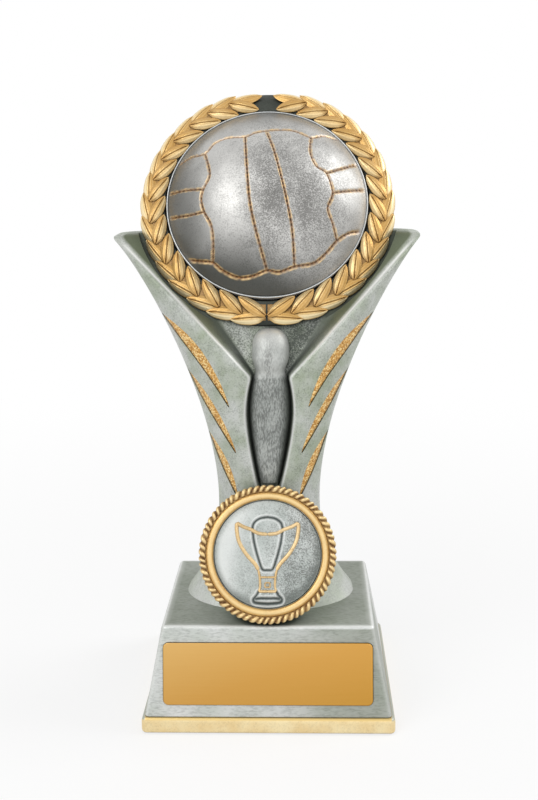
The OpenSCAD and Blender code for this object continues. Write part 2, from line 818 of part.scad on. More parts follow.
// The dome is a cap of a sphere on a cylindrical rim, with seam grooves cut along its face.
cap_r = dome_d / 2 - lip_w;
sphere_r = (cap_r * cap_r + dome_h * dome_h) / (2 * dome_h);
sphere_z = dome_h - sphere_r;
// Seams by hand, in shares of the cap's radius
seam_shares = [
    [[-0.21, 0.56], [-0.18, 0.12], [-0.15, -0.2], [-0.09, -0.48], [0.01, -0.81]],
    [[0.01, 0.6], [0.08, 0.37], [0.15, 0.08], [0.21, -0.19], [0.26, -0.46], [0.28, -0.77]],
    [[-0.62, 0.43], [-0.57, 0.24], [-0.56, 0.12], [-0.62, 0], [-0.64, -0.1], [-0.61, -0.23],
        [-0.54, -0.37], [-0.52, -0.52], [-0.53, -0.7]],
    [[0.45, 0.59], [0.44, 0.38], [0.5, 0.22], [0.6, 0.16], [0.66, -0.04], [0.61, -0.21],
        [0.66, -0.35], [0.7, -0.49]],
    [[-0.95, 0.41], [-0.78, 0.45], [-0.62, 0.43], [-0.52, 0.54], [-0.39, 0.58], [-0.21, 0.56],
        [-0.1, 0.61], [0.13, 0.65], [0.29, 0.65], [0.45, 0.59], [0.58, 0.67], [0.73, 0.68]],
    [[-0.78, -0.62], [-0.66, -0.66], [-0.53, -0.7], [-0.43, -0.78], [-0.28, -0.85], [-0.13, -0.85],
        [0.01, -0.81], [0.13, -0.82], [0.28, -0.77], [0.47, -0.72], [0.6, -0.61], [0.7, -0.49],
        [0.82, -0.39], [0.94, -0.33]],
    [[-0.62, 0], [-0.8, 0.05], [-0.99, 0.1]],
    [[-0.61, -0.23], [-0.78, -0.22], [-0.97, -0.17]],
    [[0.6, 0.16], [0.76, 0.27], [0.91, 0.4]],
    [[0.66, -0.04], [0.82, 0.03], [0.99, 0.12]]];
seam_parts = 2;

// A smooth curve through the points q and r, between its neighbours p and s
function spline(p, q, r, s, t) = (2 * q + (r - p) * t + (2 * p - 5 * q + 4 * r - s) * t * t
    + (3 * q - p - 3 * r + s) * t * t * t) / 2;
function smooth(list) = let (m = len(list) - 1) concat(
    [for (i = [0:m - 1]) for (k = [0:seam_parts - 1])
        spline(list[max(0, i - 1)], list[i], list[i + 1], list[min(m, i + 2)], k / seam_parts)],
    [list[m]]);
function on_cap(p) = [p[0] * cap_r, p[1] * cap_r,
    sphere_z + sqrt(max(0, sphere_r * sphere_r - cap_r * cap_r * (p * p)))];
function seam_ring(path, i) =
    let (p = on_cap(path[i]), n = unit(p - [0, 0, sphere_z]),
        d = unit(on_cap(path[min(len(path) - 1, i + 1)]) - on_cap(path[max(0, i - 1)])),
        w = unit(cross(n, d)))
    [p + n * seam_w + w * seam_w, p + n * seam_w - w * seam_w, p - n * seam_depth];

module seams() {
    for (list = seam_shares) {
        path = smooth(list);
        skin([for (i = [0:len(path) - 1]) seam_ring(path, i)]);
    }
}

module ball_dome() {
    color("silver")
        in_wreath()
            difference() {
                union() {
                    translate([0, 0, -dome_rim_t])
                        cylinder(d = dome_d, h = dome_rim_t + lip_w / 2, $fn = 128);
                    intersection() {
                        translate([0, 0, sphere_z])
                            sphere(sphere_r, $fn = 96);
                        translate([0, 0, -lip_w])
                            cylinder(r = cap_r, h = dome_h + over, $fn = 128);
                    }
                }
                seams();
            }
}

felt_pad();
foot_band();
base_block();
nameplate_tape();
nameplate();
column_stud();
stud_washer();
stud_nut();
threaded_insert();
column();
slash_inlays_left();
slash_inlays_right();
centre_figure();
medallion_holder();
rope_bezel();
disc_pad();
centre_disc();
cup_relief();
ring_dowels();
wreath_ring();
laurel_left();
laurel_right();
dome_pad();
ball_dome();
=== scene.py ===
import math
from functools import partial

import bpy
import numpy as np
from mathutils import Matrix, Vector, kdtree


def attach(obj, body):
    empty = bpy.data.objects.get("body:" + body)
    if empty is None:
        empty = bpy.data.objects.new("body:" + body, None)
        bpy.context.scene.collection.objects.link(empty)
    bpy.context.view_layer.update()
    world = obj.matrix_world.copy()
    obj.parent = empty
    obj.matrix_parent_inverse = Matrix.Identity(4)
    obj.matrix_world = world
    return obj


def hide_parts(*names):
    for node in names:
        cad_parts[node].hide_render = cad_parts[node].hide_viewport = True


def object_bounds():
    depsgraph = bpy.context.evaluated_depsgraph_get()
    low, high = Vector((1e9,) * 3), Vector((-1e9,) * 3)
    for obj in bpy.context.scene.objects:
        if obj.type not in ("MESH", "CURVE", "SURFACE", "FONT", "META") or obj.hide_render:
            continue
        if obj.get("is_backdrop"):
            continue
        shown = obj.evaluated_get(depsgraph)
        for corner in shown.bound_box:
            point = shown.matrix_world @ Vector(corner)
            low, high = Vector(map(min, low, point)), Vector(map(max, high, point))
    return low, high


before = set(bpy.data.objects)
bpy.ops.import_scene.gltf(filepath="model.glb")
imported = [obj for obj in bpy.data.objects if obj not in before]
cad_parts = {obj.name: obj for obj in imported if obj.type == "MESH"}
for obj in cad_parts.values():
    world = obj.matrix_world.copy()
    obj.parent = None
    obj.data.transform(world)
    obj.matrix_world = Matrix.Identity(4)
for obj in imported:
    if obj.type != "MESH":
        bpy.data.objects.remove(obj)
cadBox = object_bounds()
mm = 0.001  # lengths below are in millimetres, and meshes are made in metres
print("frame loaded:", len(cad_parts), "nodes")


# The linear colour that shaders take, from sRGB hex, or from a number as a linear grey
def linear(code):
    if not isinstance(code, str):
        return (code, code, code, 1)
    part = np.array([int(code[i:i + 2], 16) for i in (1, 3, 5)]) / 255
    light = np.where(part <= 0.04045, part / 12.92, ((part + 0.055) / 1.055) ** 2.4)
    return (*light.tolist(), 1)


# 0 below low, 1 above high, and a smooth S between
def rise(x, low, high):
    t = np.clip((x - low) / (high - low), 0, 1)
    return t * t * (3 - 2 * t)


# A bell of height 1 that has fallen to 1/e at the given distance
def bell(x, reach):
    return np.exp(-(x / reach) ** 2)


# The value at x of a table of places and values, straight between its rows
def lookUp(x, table):
    return np.interp(x, *np.transpose(table))


# Angles over a quarter turn, and over a full turn without its end
def quarterTurn(count):
    return np.linspace(0, math.pi / 2, count)


def fullTurn(count):
    return np.linspace(0, 2 * math.pi, count, endpoint=False)


# Points of a grid from their coordinates, and points on circles about Z
def grid(x, y, z):
    return np.stack(np.broadcast_arrays(x, y, z), -1)


def onCircles(radius, turn, z):
    return grid(radius * np.cos(turn), radius * np.sin(turn), z)


# A curve through points: each span is the cubic whose ends run along the line of its neighbours
def smoothPath(path, parts=8):
    p = np.asarray(path, float)
    p = np.vstack([p[:1], p, p[-1:]])
    t = (np.arange(parts) / parts)[None, :, None]
    a, b, c, d = (p[i:len(p) - 3 + i, None] for i in range(4))
    spans = (2 * b + (c - a) * t + (2 * a - 5 * b + 4 * c - d) * t ** 2
             + (3 * b - a - 3 * c + d) * t ** 3) / 2
    return np.vstack([spans.reshape(-1, p.shape[1]), p[-1:]])


# Distance of flat points to a path, and how far along the path the nearest place is
def pathDistance(spots, path):
    start, step = path[:-1], np.diff(path, axis=0)
    length = np.linalg.norm(step, axis=1)
    run = np.concatenate([[0], np.cumsum(length)[:-1]])
    away = spots[:, None] - start
    t = np.clip((away * step).sum(-1) / length ** 2, 0, 1)
    gap = np.linalg.norm(away - t[..., None] * step, axis=-1)
    best = gap.argmin(1)
    row = np.arange(len(spots))
    return gap[row, best], run[best] + t[row, best] * length[best]


# A turn about an axis in degrees, as a 3 x 3 matrix
def turnAbout(axis, angle):
    c, s = math.cos(math.radians(angle)), math.sin(math.radians(angle))
    one, two = {"X": (1, 2), "Y": (2, 0), "Z": (0, 1)}[axis]
    matrix = np.eye(3)
    matrix[[one, two, one, two], [one, two, two, one]] = c, c, -s, s
    return matrix


# A shell is points, quads, triangles and traits. A place is the axes of a leaning frame and its origin.
def moved(shell, place):
    axes, origin = place
    return (shell[0] @ axes.T + np.array(origin), *shell[1:])


# A shell of rings of points, rows x columns, joined by quads. It closes both ends with fans on their
# middles or, if it is told the corner where front and back meet, with zips between the two; or it
# joins the last ring to the first.
def tube(rings, traits=None, loop=False, corner=None):
    rows, cols = rings.shape[:2]
    index = np.arange(rows * cols).reshape(rows, cols)
    ahead = np.roll(index, -1, 0)
    quads = np.stack([index, np.roll(index, -1, 1), np.roll(ahead, -1, 1), ahead], -1)
    quads = (quads if loop else quads[:-1]).reshape(-1, 4)
    points, fans = rings.reshape(-1, 3), np.zeros((0, 3), int)
    traits = {name: np.broadcast_to(value, (rows, cols)).reshape(-1)
              for name, value in (traits or {}).items()}
    if corner:
        fans = np.vstack([zipAcross(rings[0], corner)[:, ::-1],
                          zipAcross(rings[-1], corner) + (rows - 1) * cols])
    elif not loop:
        points = np.vstack([points, rings[0].mean(0), rings[-1].mean(0)])
        hub = np.full(cols, rows * cols)
        fans = np.vstack([np.stack([hub, np.roll(index[0], -1), index[0]], -1),
                          np.stack([hub + 1, index[-1], np.roll(index[-1], -1)], -1)])
        traits = {name: np.concatenate([v, [v[:cols].mean(), v[-cols:].mean()]])
                  for name, v in traits.items()}
    return turnedOut((points, quads, fans, traits))


# Triangles that fill a ring with the same run of points on both sides: on each side the front and
# the back run outwards to one corner, and every step of either takes the other's last point before it
def zipAcross(ring, corner):
    count = len(ring)
    front, back = np.arange(corner + 1), np.arange(count // 2, corner - 1, -1)
    frontX, backX = ring[front[1:], 0], ring[back[1:-1], 0]
    right = np.vstack([
        np.stack([front[:-1], front[1:], back[np.searchsorted(backX, frontX)]], -1),
        np.stack([front[np.searchsorted(frontX, backX, "right")], back[1:-1], back[:-2]], -1)])
    return np.vstack([right, (-right % count)[:, ::-1]])


# Faces of a closed shell point outwards when the volume under them adds up to more than nothing
def turnedOut(shell):
    points, quads, fans, traits = shell
    corners = np.vstack([quads[:, [0, 1, 2]], quads[:, [0, 2, 3]], fans])
    a, b, c = (points[corners[:, i]] for i in range(3))
    if (a * np.cross(b, c)).sum() < 0:
        quads, fans = quads[:, ::-1], fans[:, ::-1]
    return points, quads, fans, traits


# A profile of radius and height turned about Z, and the plainest one, a straight rod
def lathe(profile, segments, traits=None):
    radius, height = np.transpose(np.asarray(profile, float))[..., None]
    return tube(onCircles(radius, fullTurn(segments), height), traits)


def rod(radius, low, high, segments=192, traits=None):
    return lathe([[radius, low], [radius, high]], segments, traits)


# Rings round rectangles with rounded corners, from rows of half widths, depths to the front and to
# the back, corner radii and heights; points are close together near the corners
def roundedRings(halfWidth, front, back, radius, height,
                 cornerSteps=6, shares=(.02, .06, .14, .28, .5, .72, .86, .94, .98)):
    rows = np.stack(np.broadcast_arrays(halfWidth, front, back, radius, height))[..., None]
    halfWidth, front, back, radius, height = rows
    corners = []
    for number, (x, y) in enumerate([(1, 1), (-1, 1), (-1, -1), (1, -1)]):
        turn = quarterTurn(cornerSteps + 1) + number * math.pi / 2
        depth = back if y > 0 else front
        corners.append(grid(x * (halfWidth - radius) + radius * np.cos(turn),
                            y * (depth - radius) + radius * np.sin(turn), height))
    share = np.array(shares)[None, :, None]
    sides = [here[:, -1:] * (1 - share) + ahead[:, :1] * share
             for here, ahead in zip(corners, corners[1:] + corners[:1])]
    return np.concatenate([part for pair in zip(corners, sides) for part in pair], 1)


# Adds copies of the first and last ring drawn in towards their middles: flat ends stay evenly shaded
def flatEnds(rings, shares=(.985, .95, .8, .5, .2)):
    first, last = (ring.mean(0) + (ring - ring.mean(0)) * np.array(shares)[:, None, None]
                   for ring in (rings[0], rings[-1]))
    return np.concatenate([first[::-1], rings, last])


def addObject(name, data):
    item = bpy.data.objects.new(name, data)
    bpy.context.scene.collection.objects.link(item)
    return item


# One mesh of several shells, with their traits as point attributes
def joinShells(name, shells, material):
    start, faces = 0, []
    for points, quads, fans, _ in shells:
        faces += (quads + start).tolist() + (fans + start).tolist()
        start += len(points)
    mesh = bpy.data.meshes.new(name)
    mesh.from_pydata((np.vstack([shell[0] for shell in shells]) * mm).tolist(), [], faces)
    mesh.materials.append(material)
    for trait in sorted({trait for shell in shells for trait in shell[3]}):
        values = np.concatenate([shell[3].get(trait, np.zeros(len(shell[0]))) for shell in shells])
        mesh.attributes.new(trait, "FLOAT", "POINT").data.foreach_set("value", values.astype(np.float32))
    return mesh


def pointValues(mesh, name, field="value", width=1):
    values = np.zeros(len(mesh.vertices) * width, np.float32)
    mesh.attributes[name].data.foreach_get(field, values)
    return values.reshape(-1, width)


# Points where a cut crosses a surface come without traits: they take those of the nearest old point
def borrowTraits(mesh, old):
    names = [layer.name for layer in old.attributes
             if (layer.data_type, layer.domain) == ("FLOAT", "POINT")]
    if not names:
        return
    (oldSpots, oldTraits), (spots, traits) = (
        (pointValues(source, "position", "vector", 3),
         np.hstack([pointValues(source, name) for name in names])) for source in (old, mesh))
    tree = kdtree.KDTree(len(oldSpots))
    for number, spot in enumerate(oldSpots.tolist()):
        tree.insert(spot, number)
    tree.balance()
    bare = np.flatnonzero(~traits.any(1))
    traits[bare] = oldTraits[[tree.find(spot)[1] for spot in spots[bare].tolist()]]
    for name, values in zip(names, traits.T):
        mesh.attributes[name].data.foreach_set("value", np.ascontiguousarray(values))


# Takes closed shells away from a piece
def cutAway(piece, cutters):
    uncut = piece.data
    for shell in cutters:
        tool = addObject("cutter", joinShells("cutter", [shell], uncut.materials[0]))
        cut = piece.modifiers.new("cut", "BOOLEAN")
        cut.operation, cut.solver, cut.object = "DIFFERENCE", "MANIFOLD", tool
        mesh = bpy.data.meshes.new_from_object(piece.evaluated_get(bpy.context.evaluated_depsgraph_get()))
        piece.modifiers.clear()
        piece.data = mesh
        bpy.data.objects.remove(tool)
    borrowTraits(piece.data, uncut)


# Makes a piece of shells, with others cut away from it, and says which node it stands for
def addPiece(name, shells, material, node, cutters=(), crease=35):
    piece = addObject(name, joinShells(name, shells, material))
    if cutters:
        cutAway(piece, cutters)
    piece.data.polygons.foreach_set("use_smooth", np.ones(len(piece.data.polygons), bool))
    piece.data.set_sharp_from_angle(angle=math.radians(crease))
    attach(piece, "root")
    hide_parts(node)
    print(f"{name}: {len(piece.data.polygons)} faces for {node}")


# Adds a node. Its inputs are numbers, colours, other nodes' outputs, or nodes for their first output;
# stops are the places and colours of a ramp, and settings its other properties.
def addNode(tree, kind, inputs=None, stops=(), **settings):
    node = tree.nodes.new("ShaderNode" + kind)
    for name, value in settings.items():
        setattr(node, name, value)
    for name, value in (inputs or {}).items():
        if isinstance(value, bpy.types.Node):
            value = value.outputs[0]
        if isinstance(value, bpy.types.NodeSocket):
            tree.links.new(value, node.inputs[name])
        else:
            node.inputs[name].default_value = value
    for number, (place, colour) in enumerate(stops):
        stop = node.color_ramp.elements[number] if number < 2 else node.color_ramp.elements.new(place)
        stop.position, stop.color = place, linear(colour)
    return node


# The way to add nodes to an emptied tree, of a material or of the world, and object coordinates in it
def newTree(owner):
    owner.use_nodes = True
    owner.node_tree.nodes.clear()
    add = partial(addNode, owner.node_tree)
    return add, add("TexCoord").outputs["Object"]


# A material by a recipe, which gives its colour and the other inputs that come from nodes
def makeMaterial(name, recipe, look):
    material = bpy.data.materials.new(name)
    add, spot = newTree(material)
    colour, linked = recipe(add, spot, look)
    inputs = {"Base Color": colour, "Roughness": look["roughness"], "Metallic": look["metallic"]} | linked
    add("OutputMaterial", {"Surface": add("BsdfPrincipled", inputs)})
    return material


# Antiqued paint: a metallic coat is sprayed on the cast resin, a dark wash is wiped off so that it
# stays in the hollows and the pits, and raised edges are rubbed bright. The eye sees slow changes of
# tint, fine dark specks, dark hollows and pale edges; the hollows are darkened by nearness to other
# surfaces, as dark wash and, where another piece lies close, as painted shade. Sizes are those of the
# patches and specks, and layers are colours that traits of the mesh lay over the paint.
paint = dict(tintSpan=(0.36, 0.64), cloudShare=0.35, cloudCrowd=0.55, pitCrowd=0.2, speckSpan=0.25,
             crowdSpan=(0.5, 1.1), smoother=0.05, rougher=0.15, bumpHeight=0.05, stretch=(1, 1, 1))


def antiquedPaint(add, spot, look):
    look = paint | look
    stretched = add("Mapping", {"Vector": spot, "Scale": look["stretch"]})
    patch, cloud, speck = (
        add("TexNoise", {"Vector": place, "Scale": 1 / (size * mm), "Detail": detail, "Roughness": rough})
        for place, size, detail, rough in ((spot, look["patchSize"], 4, 0.6),
                                           (spot, look["patchSize"] * look["cloudShare"], 5, 0.65),
                                           (stretched, look["grainSize"], 2, 0.6)))
    tint = add("ValToRGB", {"Fac": patch}, stops=zip(look["tintSpan"], (look["tint"], look["base"])))
    # specks crowd where the cloud is thick and where the piece is marked with pits
    pits = add("Attribute", attribute_name="pits").outputs["Fac"]
    crowd = add("Math", {0: cloud, 1: look["cloudCrowd"], 2: speck}, operation="MULTIPLY_ADD")
    crowd = add("Math", {0: pits, 1: look["pitCrowd"], 2: crowd}, operation="MULTIPLY_ADD")
    specks = add("ValToRGB", {"Fac": crowd},
                 stops=[(look["grainFrom"], 0), (look["grainFrom"] + look["speckSpan"], 1)])
    strength = add("Math", {0: pits, 1: look["pitGrain"], 2: look["grain"]}, operation="MULTIPLY_ADD")
    speckle = add("Math", {0: specks, 1: strength}, operation="MULTIPLY")
    # Nearness to other surfaces darkens the paint: dark wash in the hollows, and painted shade where another
    # piece lies close
    corner = add("AmbientOcclusion", {"Distance": look["washReach"] * mm}, samples=8)
    washAndShade = add("ValToRGB", {"Fac": corner.outputs["AO"]}, stops=zip(look["washSpan"], (look["wash"], 0)))
    layers = [(add("Attribute", attribute_name=trait).outputs["Fac"], code)
              for trait, code in look["layers"].items()]
    colour = tint
    for amount, code in [(speckle, look["dark"]), *layers, (washAndShade, look["dark"])]:
        colour = add("Mix", {0: amount, 6: colour, 7: linear(code)}, data_type="RGBA").outputs[2]
    rough = add("MapRange", {"Value": crowd, "From Min": look["crowdSpan"][0],
                             "From Max": look["crowdSpan"][1],
                             "To Min": look["roughness"] - look["smoother"],
                             "To Max": look["roughness"] + look["rougher"]})
    bump = add("Bump", {"Height": crowd, "Strength": look["bump"], "Distance": look["bumpHeight"] * mm})
    return colour, {"Roughness": rough, "Normal": bump}


# Silver on the resin of the column; on the base it is brushed across and paler, as painted light; it is
# darker on the figure; and the dark wash alone behind the wreath, darkened further as painted shade
resinLook = dict(base="#c1c4bf", tint="#9fa895", dark="#2f352f", patchSize=9, grainSize=0.35, grain=0.36,
                 pitGrain=0.6, grainFrom=0.74, washReach=2.2, washSpan=(0.2, 0.75), wash=0.85, roughness=0.42,
                 metallic=0.35, bump=0.3, layers=dict(shade="#5d664d", wash="#363c35", edge="#eeefec"))
antiqueResin = makeMaterial("antiqueSilverOnResin", antiquedPaint, resinLook)
blockResin = makeMaterial("brushedSilverOnBase", antiquedPaint, dict(
    resinLook, base="#d3d5d3", tint="#c0c5bf", stretch=(0.25, 1, 1), grain=0.27, grainFrom=0.72))
figureResin = makeMaterial("darkerSilverOnResin", antiquedPaint, dict(
    resinLook, base="#b9bcb8", tint="#9fa39f", dark="#2f332f", grain=0.33, grainSize=0.3, stretch=(1, 1, 0.3),
    washReach=1.4, layers=dict(wash="#3d423d", edge="#d9dad6")))
backingResin = makeMaterial("darkWashOnResin", antiquedPaint, dict(
    resinLook, base="#3d423b", tint="#2e332c", dark="#1b1a14", wash=0.97, washReach=1.8, layers={}))

# Brighter silver with brown in the ball's seams, and duller silver with dark lines on the disc. shade lays
# painted shade on both, and on the disc halo also lays a painted highlight
silverLook = dict(base="#c9c8c5", tint="#b3b2af", dark="#3a3935", patchSize=12, grainSize=0.3, grain=0.35,
                  pitGrain=0.35, grainFrom=0.76, washReach=0.8, washSpan=(0.2, 0.7), wash=0.5, roughness=0.36,
                  metallic=0.55, bump=0.3,
                  layers=dict(shade="#43443f", seam="#a4723a", lip="#e8c78e", deep="#2a1c12", rim="#cfd6da"))
antiqueSilver = makeMaterial("antiqueSilverDome", antiquedPaint, silverLook)
discSilver = makeMaterial("antiqueSilverDisc", antiquedPaint, dict(
    silverLook, base="#c3c8c5", tint="#a9b0ac", grain=0.4, patchSize=9, roughness=0.48,
    layers=dict(shade="#636a66", halo="#d9dcda", line="#39413f")))

# Satin gold on the bezel; warmer on the leaves, and paler there partly as painted light; paler on the
# emblem's lines and on the foot band
giltLook = dict(base="#d3ab66", tint="#c0924f", dark="#3f2610", patchSize=7, grainSize=0.4, grain=0.25,
                pitGrain=0, grainFrom=0.74, washReach=0.9, washSpan=(0.2, 0.75), wash=0.85, roughness=0.36,
                metallic=0.6, bump=0.25, layers=dict(wash="#54341a", edge="#f2dba6"))
gilding = makeMaterial("satinGoldPaint", antiquedPaint, giltLook)
laurelGilding = makeMaterial("satinGoldLeaves", antiquedPaint, dict(
    giltLook, base="#eacd94", tint="#ddb978", dark="#4a2f14", wash=0.8,
    layers=dict(wash="#80592b", shade="#bd8d43", edge="#fbe9bd")))
emblemGilding = makeMaterial("goldLinePaint", antiquedPaint, dict(
    giltLook, base="#e6cb9c", tint="#d8b884", washReach=0.4, layers={}))
bandGilding = makeMaterial("paleGoldBand", antiquedPaint, dict(
    giltLook, base="#f2e1b4", tint="#e8cf9a", grain=0.12, layers=dict(edge="#d9bd7c", shade="#aeb2a7")))

# Glitter in clear lacquer: hard flakes that each face their own way; each flake is also painted darker or
# brighter at random, as painted glints and shade for the flash of some and the dark of others.
# Real flakes are 0.2 mm across; they are drawn at 0.3 mm to show.
glitterLook = dict(dark="#b38346", base="#dcaa60", bright="#f6dca0", colourStops=(0.1, 0.55, 0.9),
                   flakeSize=0.3, bump=0.8, bumpHeight=0.12, roughness=0.35, metallic=0.7)


def glitterPaint(add, spot, look):
    flakes = add("TexVoronoi", {"Vector": spot, "Scale": 1 / (look["flakeSize"] * mm)})
    pick = add("SeparateColor", {"Color": flakes.outputs["Color"]})
    colour = add("ValToRGB", {"Fac": pick.outputs["Red"]},
                 stops=zip(look["colourStops"], (look["dark"], look["base"], look["bright"])))
    bump = add("Bump", {"Height": pick.outputs["Green"], "Strength": look["bump"],
                        "Distance": look["bumpHeight"] * mm})
    return colour, {"Normal": bump}


glitter = makeMaterial("goldGlitter", glitterPaint, glitterLook)

# Anodised aluminium sheet: satin rolled, then dyed gold. The eye sees an even warm gold with a very fine
# grain along the plate, and a painted reflection makes it paler up and to the left; the real grain of
# 0.02 mm is drawn at 0.25 mm.
plateLook = dict(tint="#ba8936", base="#c89649", pale="#d8ad67", fade=(-11, 0, 32), grainSize=0.25,
                 stretch=(0.02, 1, 1), grain=0.12, roughness=0.34, roughSpan=0.04, metallic=0.75)


def anodisedSheet(add, spot, look):
    along = add("Mapping", {"Vector": spot, "Scale": look["stretch"]})
    grain = add("TexNoise", {"Vector": along, "Scale": 1 / (look["grainSize"] * mm), "Detail": 3})
    # fade is a painted reflection: the gold turns paler up and to the left
    fade = add("VectorMath", {0: spot, 1: look["fade"]}, operation="DOT_PRODUCT").outputs["Value"]
    pale = add("Math", {0: grain, 1: look["grain"], 2: fade}, operation="MULTIPLY_ADD")
    colour = add("ValToRGB", {"Fac": pale},
                 stops=zip((0, 0.5, 1), (look["tint"], look["base"], look["pale"])))
    rough = add("MapRange", {"Value": grain, "To Min": look["roughness"] - look["roughSpan"],
                             "To Max": look["roughness"] + look["roughSpan"]})
    return colour, {"Roughness": rough}


goldSheet = makeMaterial("goldAnodisedSheet", anodisedSheet, plateLook)

# Plain stuffs of the fixings and pads: a colour that wanders a little, with grain in the bump.
# grain is the size of what the eye sees: plating crystals, turning marks, foam cells, felt fibres.
plainLooks = {
    "zincPlating": dict(tint="#9fa3a8", base="#b9bcc0", grain=0.4, roughness=0.32, metallic=1),
    "turnedBrass": dict(tint="#b38e45", base="#c9a558", grain=0.3, roughness=0.3, metallic=1),
    "foamTape": dict(tint="#cfcec8", base="#e4e3de", grain=0.25, roughness=0.9, metallic=0),
    "woolFelt": dict(tint="#141613", base="#20231f", grain=0.35, roughness=0.95, metallic=0)}


def plainStuff(add, spot, look):
    grain = add("TexNoise", {"Vector": spot, "Scale": 1 / (look["grain"] * mm), "Detail": 4,
                             "Roughness": 0.6})
    colour = add("ValToRGB", {"Fac": grain}, stops=zip((0.3, 0.7), (look["tint"], look["base"])))
    bump = add("Bump", {"Height": grain, "Strength": 0.4, "Distance": 0.1 * mm})
    return colour, {"Normal": bump}


stuff = {name: makeMaterial(name, plainStuff, look) for name, look in plainLooks.items()}
print("materials ready")

fit = 0.1  # clearance of pieces that slide into each other
clear = 60  # how far a cut runs on into the open

# Base: a foot band, a block that narrows upwards and a plate let into its front
base = dict(bandBottom=0.3, bandTop=4.0, top=24.9, bandHalfWidth=30, bandHalfDepth=27, bandCorner=1.3,
            blockHalfWidth=29.2, blockHalfDepth=26.2, sideSlope=4.1, frontSlope=5.0, backSlope=5.2,
            cornerRadius=1.1, leastRadius=0.3, topRound=0.7, footRound=0.25, feltMargin=3, feltThickness=1,
            boreRadius=7, boreTop=12.9, studRadius=2.1, studY=4, insertRadius=3.55, insertDepth=11.1,
            cornerWear=0.6, crownWear=0.75, topShade=0.62, rightShade=0.55)
blockHeight = base["top"] - base["bandTop"]


# Half width, front and back of the block, which narrow in step with the height
def blockSides(height):
    share = (height - base["bandTop"]) / blockHeight
    return (base["blockHalfWidth"] - base["sideSlope"] * share,
            base["blockHalfDepth"] - base["frontSlope"] * share,
            base["blockHalfDepth"] - base["backSlope"] * share)


# The block's walls turn over quarter circles at their foot and at the crown
def blockRings():
    foot, crown, turn = base["footRound"], base["topRound"], quarterTurn(6)
    wallShares = np.array([.01, .03, .08, .2, .35, .5, .65, .8, .92, .97, .99])
    height = np.concatenate([base["bandTop"] + foot * (1 - np.cos(turn)),
                             base["bandTop"] + foot + (blockHeight - crown - foot) * wallShares,
                             base["top"] - crown * (1 - np.sin(turn))])
    inset = np.concatenate([foot * (1 - np.sin(turn)), 0 * wallShares, crown * (1 - np.cos(turn))])
    halfWidth, front, back = blockSides(height)
    return flatEnds(roundedRings(halfWidth - inset, front - inset, back - inset,
                                 np.maximum(base["cornerRadius"] - inset, base["leastRadius"]), height))


# Edges are rubbed bright by their nearness to the crown and to the upright corners; the top and the
# right of the front take painted shade
def blockTraits(rings):
    x, y, height = np.moveaxis(rings, -1, 0)
    halfWidth, front, back = blockSides(height)
    fromSide, fromFace = halfWidth - np.abs(x), np.where(y < 0, front + y, back - y)
    corners = base["cornerWear"] * bell(fromSide, 0.6) * bell(fromFace, 0.6)
    crown = base["crownWear"] * bell(base["top"] - height, 0.35) * bell(np.minimum(fromSide, fromFace), 0.9)
    # painted shade on the top, and on the front growing towards the right
    shade = (base["topShade"] * (height > base["top"] - 0.01)
             + base["rightShade"] * rise(x, -8, 24) * (height < base["top"] - 0.5) * (y < 0))
    return {"edge": np.maximum(corners, crown), "shade": shade}


plate = dict(width=49.4, height=14.6, radius=1.2, thickness=0.6, recess=0.5, tape=0.3, place=0.48,
             edgeRound=0.12, gap=0.12)
plateAxes = turnAbout("X", 90 - math.degrees(math.atan(base["frontSlope"] / blockHeight)))
slant = math.hypot(base["frontSlope"], blockHeight)
platePlace = (plateAxes, np.array([0, -base["blockHalfDepth"], base["bandTop"]])
              + plateAxes @ np.array([0, slant * plate["place"], 0]))


# A rounded sheet between two heights whose upper edge turns over a small quarter circle
def sheetShell(halfWidth, halfHeight, radius, low, high, edge=0):
    turn = quarterTurn(4) if edge else np.zeros(1)
    inset = np.concatenate([[0, 0], edge * (1 - np.cos(turn))])
    level = np.concatenate([[low, low + 0.02], high - edge + edge * np.sin(turn)])
    return tube(flatEnds(roundedRings(halfWidth - inset, halfHeight - inset, halfHeight - inset,
                                      radius - inset, level)))


def plateShell(gap, *heights):
    return moved(sheetShell(plate["width"] / 2 + gap, plate["height"] / 2 + gap, plate["radius"] + gap,
                            *heights), platePlace)


bore = rod(base["boreRadius"], -1, base["boreTop"], 64)
studHole = rod(base["studRadius"], 0, 30, 32)
atStud = (np.eye(3), (0, base["studY"], 0))
rings = blockRings()
addPiece("baseBlock", [tube(rings, blockTraits(rings))], blockResin, "base_block",
         cutters=[plateShell(plate["gap"], -plate["recess"], 4), moved(bore, atStud), moved(studHole, atStud)])
plateBack = plate["tape"] - plate["recess"]
addPiece("blankPlate", [plateShell(0, plateBack, plateBack + plate["thickness"], plate["edgeRound"])],
         goldSheet, "nameplate")

# The band rises from a small foot, stands upright and turns over to its ledge, by these insets and
# heights; its ledge is rubbed bright in front and dull at the sides
bandInset = np.array([0.3, 0.16, 0.06, 0, 0, 0.02, 0.1, 0.22, 0.36, 0.5, 0.6])
bandLevel = np.array([0, 0.12, 0.35, 0.6, 1.4, 2.6, 3.1, 3.4, 3.58, 3.68, 3.7]) + base["bandBottom"]
rings = flatEnds(roundedRings(base["bandHalfWidth"] - bandInset, base["bandHalfDepth"] - bandInset,
                              base["bandHalfDepth"] - bandInset, base["bandCorner"] - bandInset, bandLevel))
ledge = rise(rings[..., 2], 3.35, 3.75)
atSide = rise(np.abs(rings[..., 0]) - base["bandHalfWidth"], -1.1, -0.7)
feltSlack = fit - base["feltMargin"]
felt = sheetShell(base["bandHalfWidth"] + feltSlack, base["bandHalfDepth"] + feltSlack,
                  base["cornerRadius"] + fit, -3, base["feltThickness"])
addPiece("footBand", [tube(rings, {"edge": ledge * (1 - atSide), "shade": ledge * atSide})], bandGilding,
         "foot_band", cutters=[felt, moved(bore, atStud)])

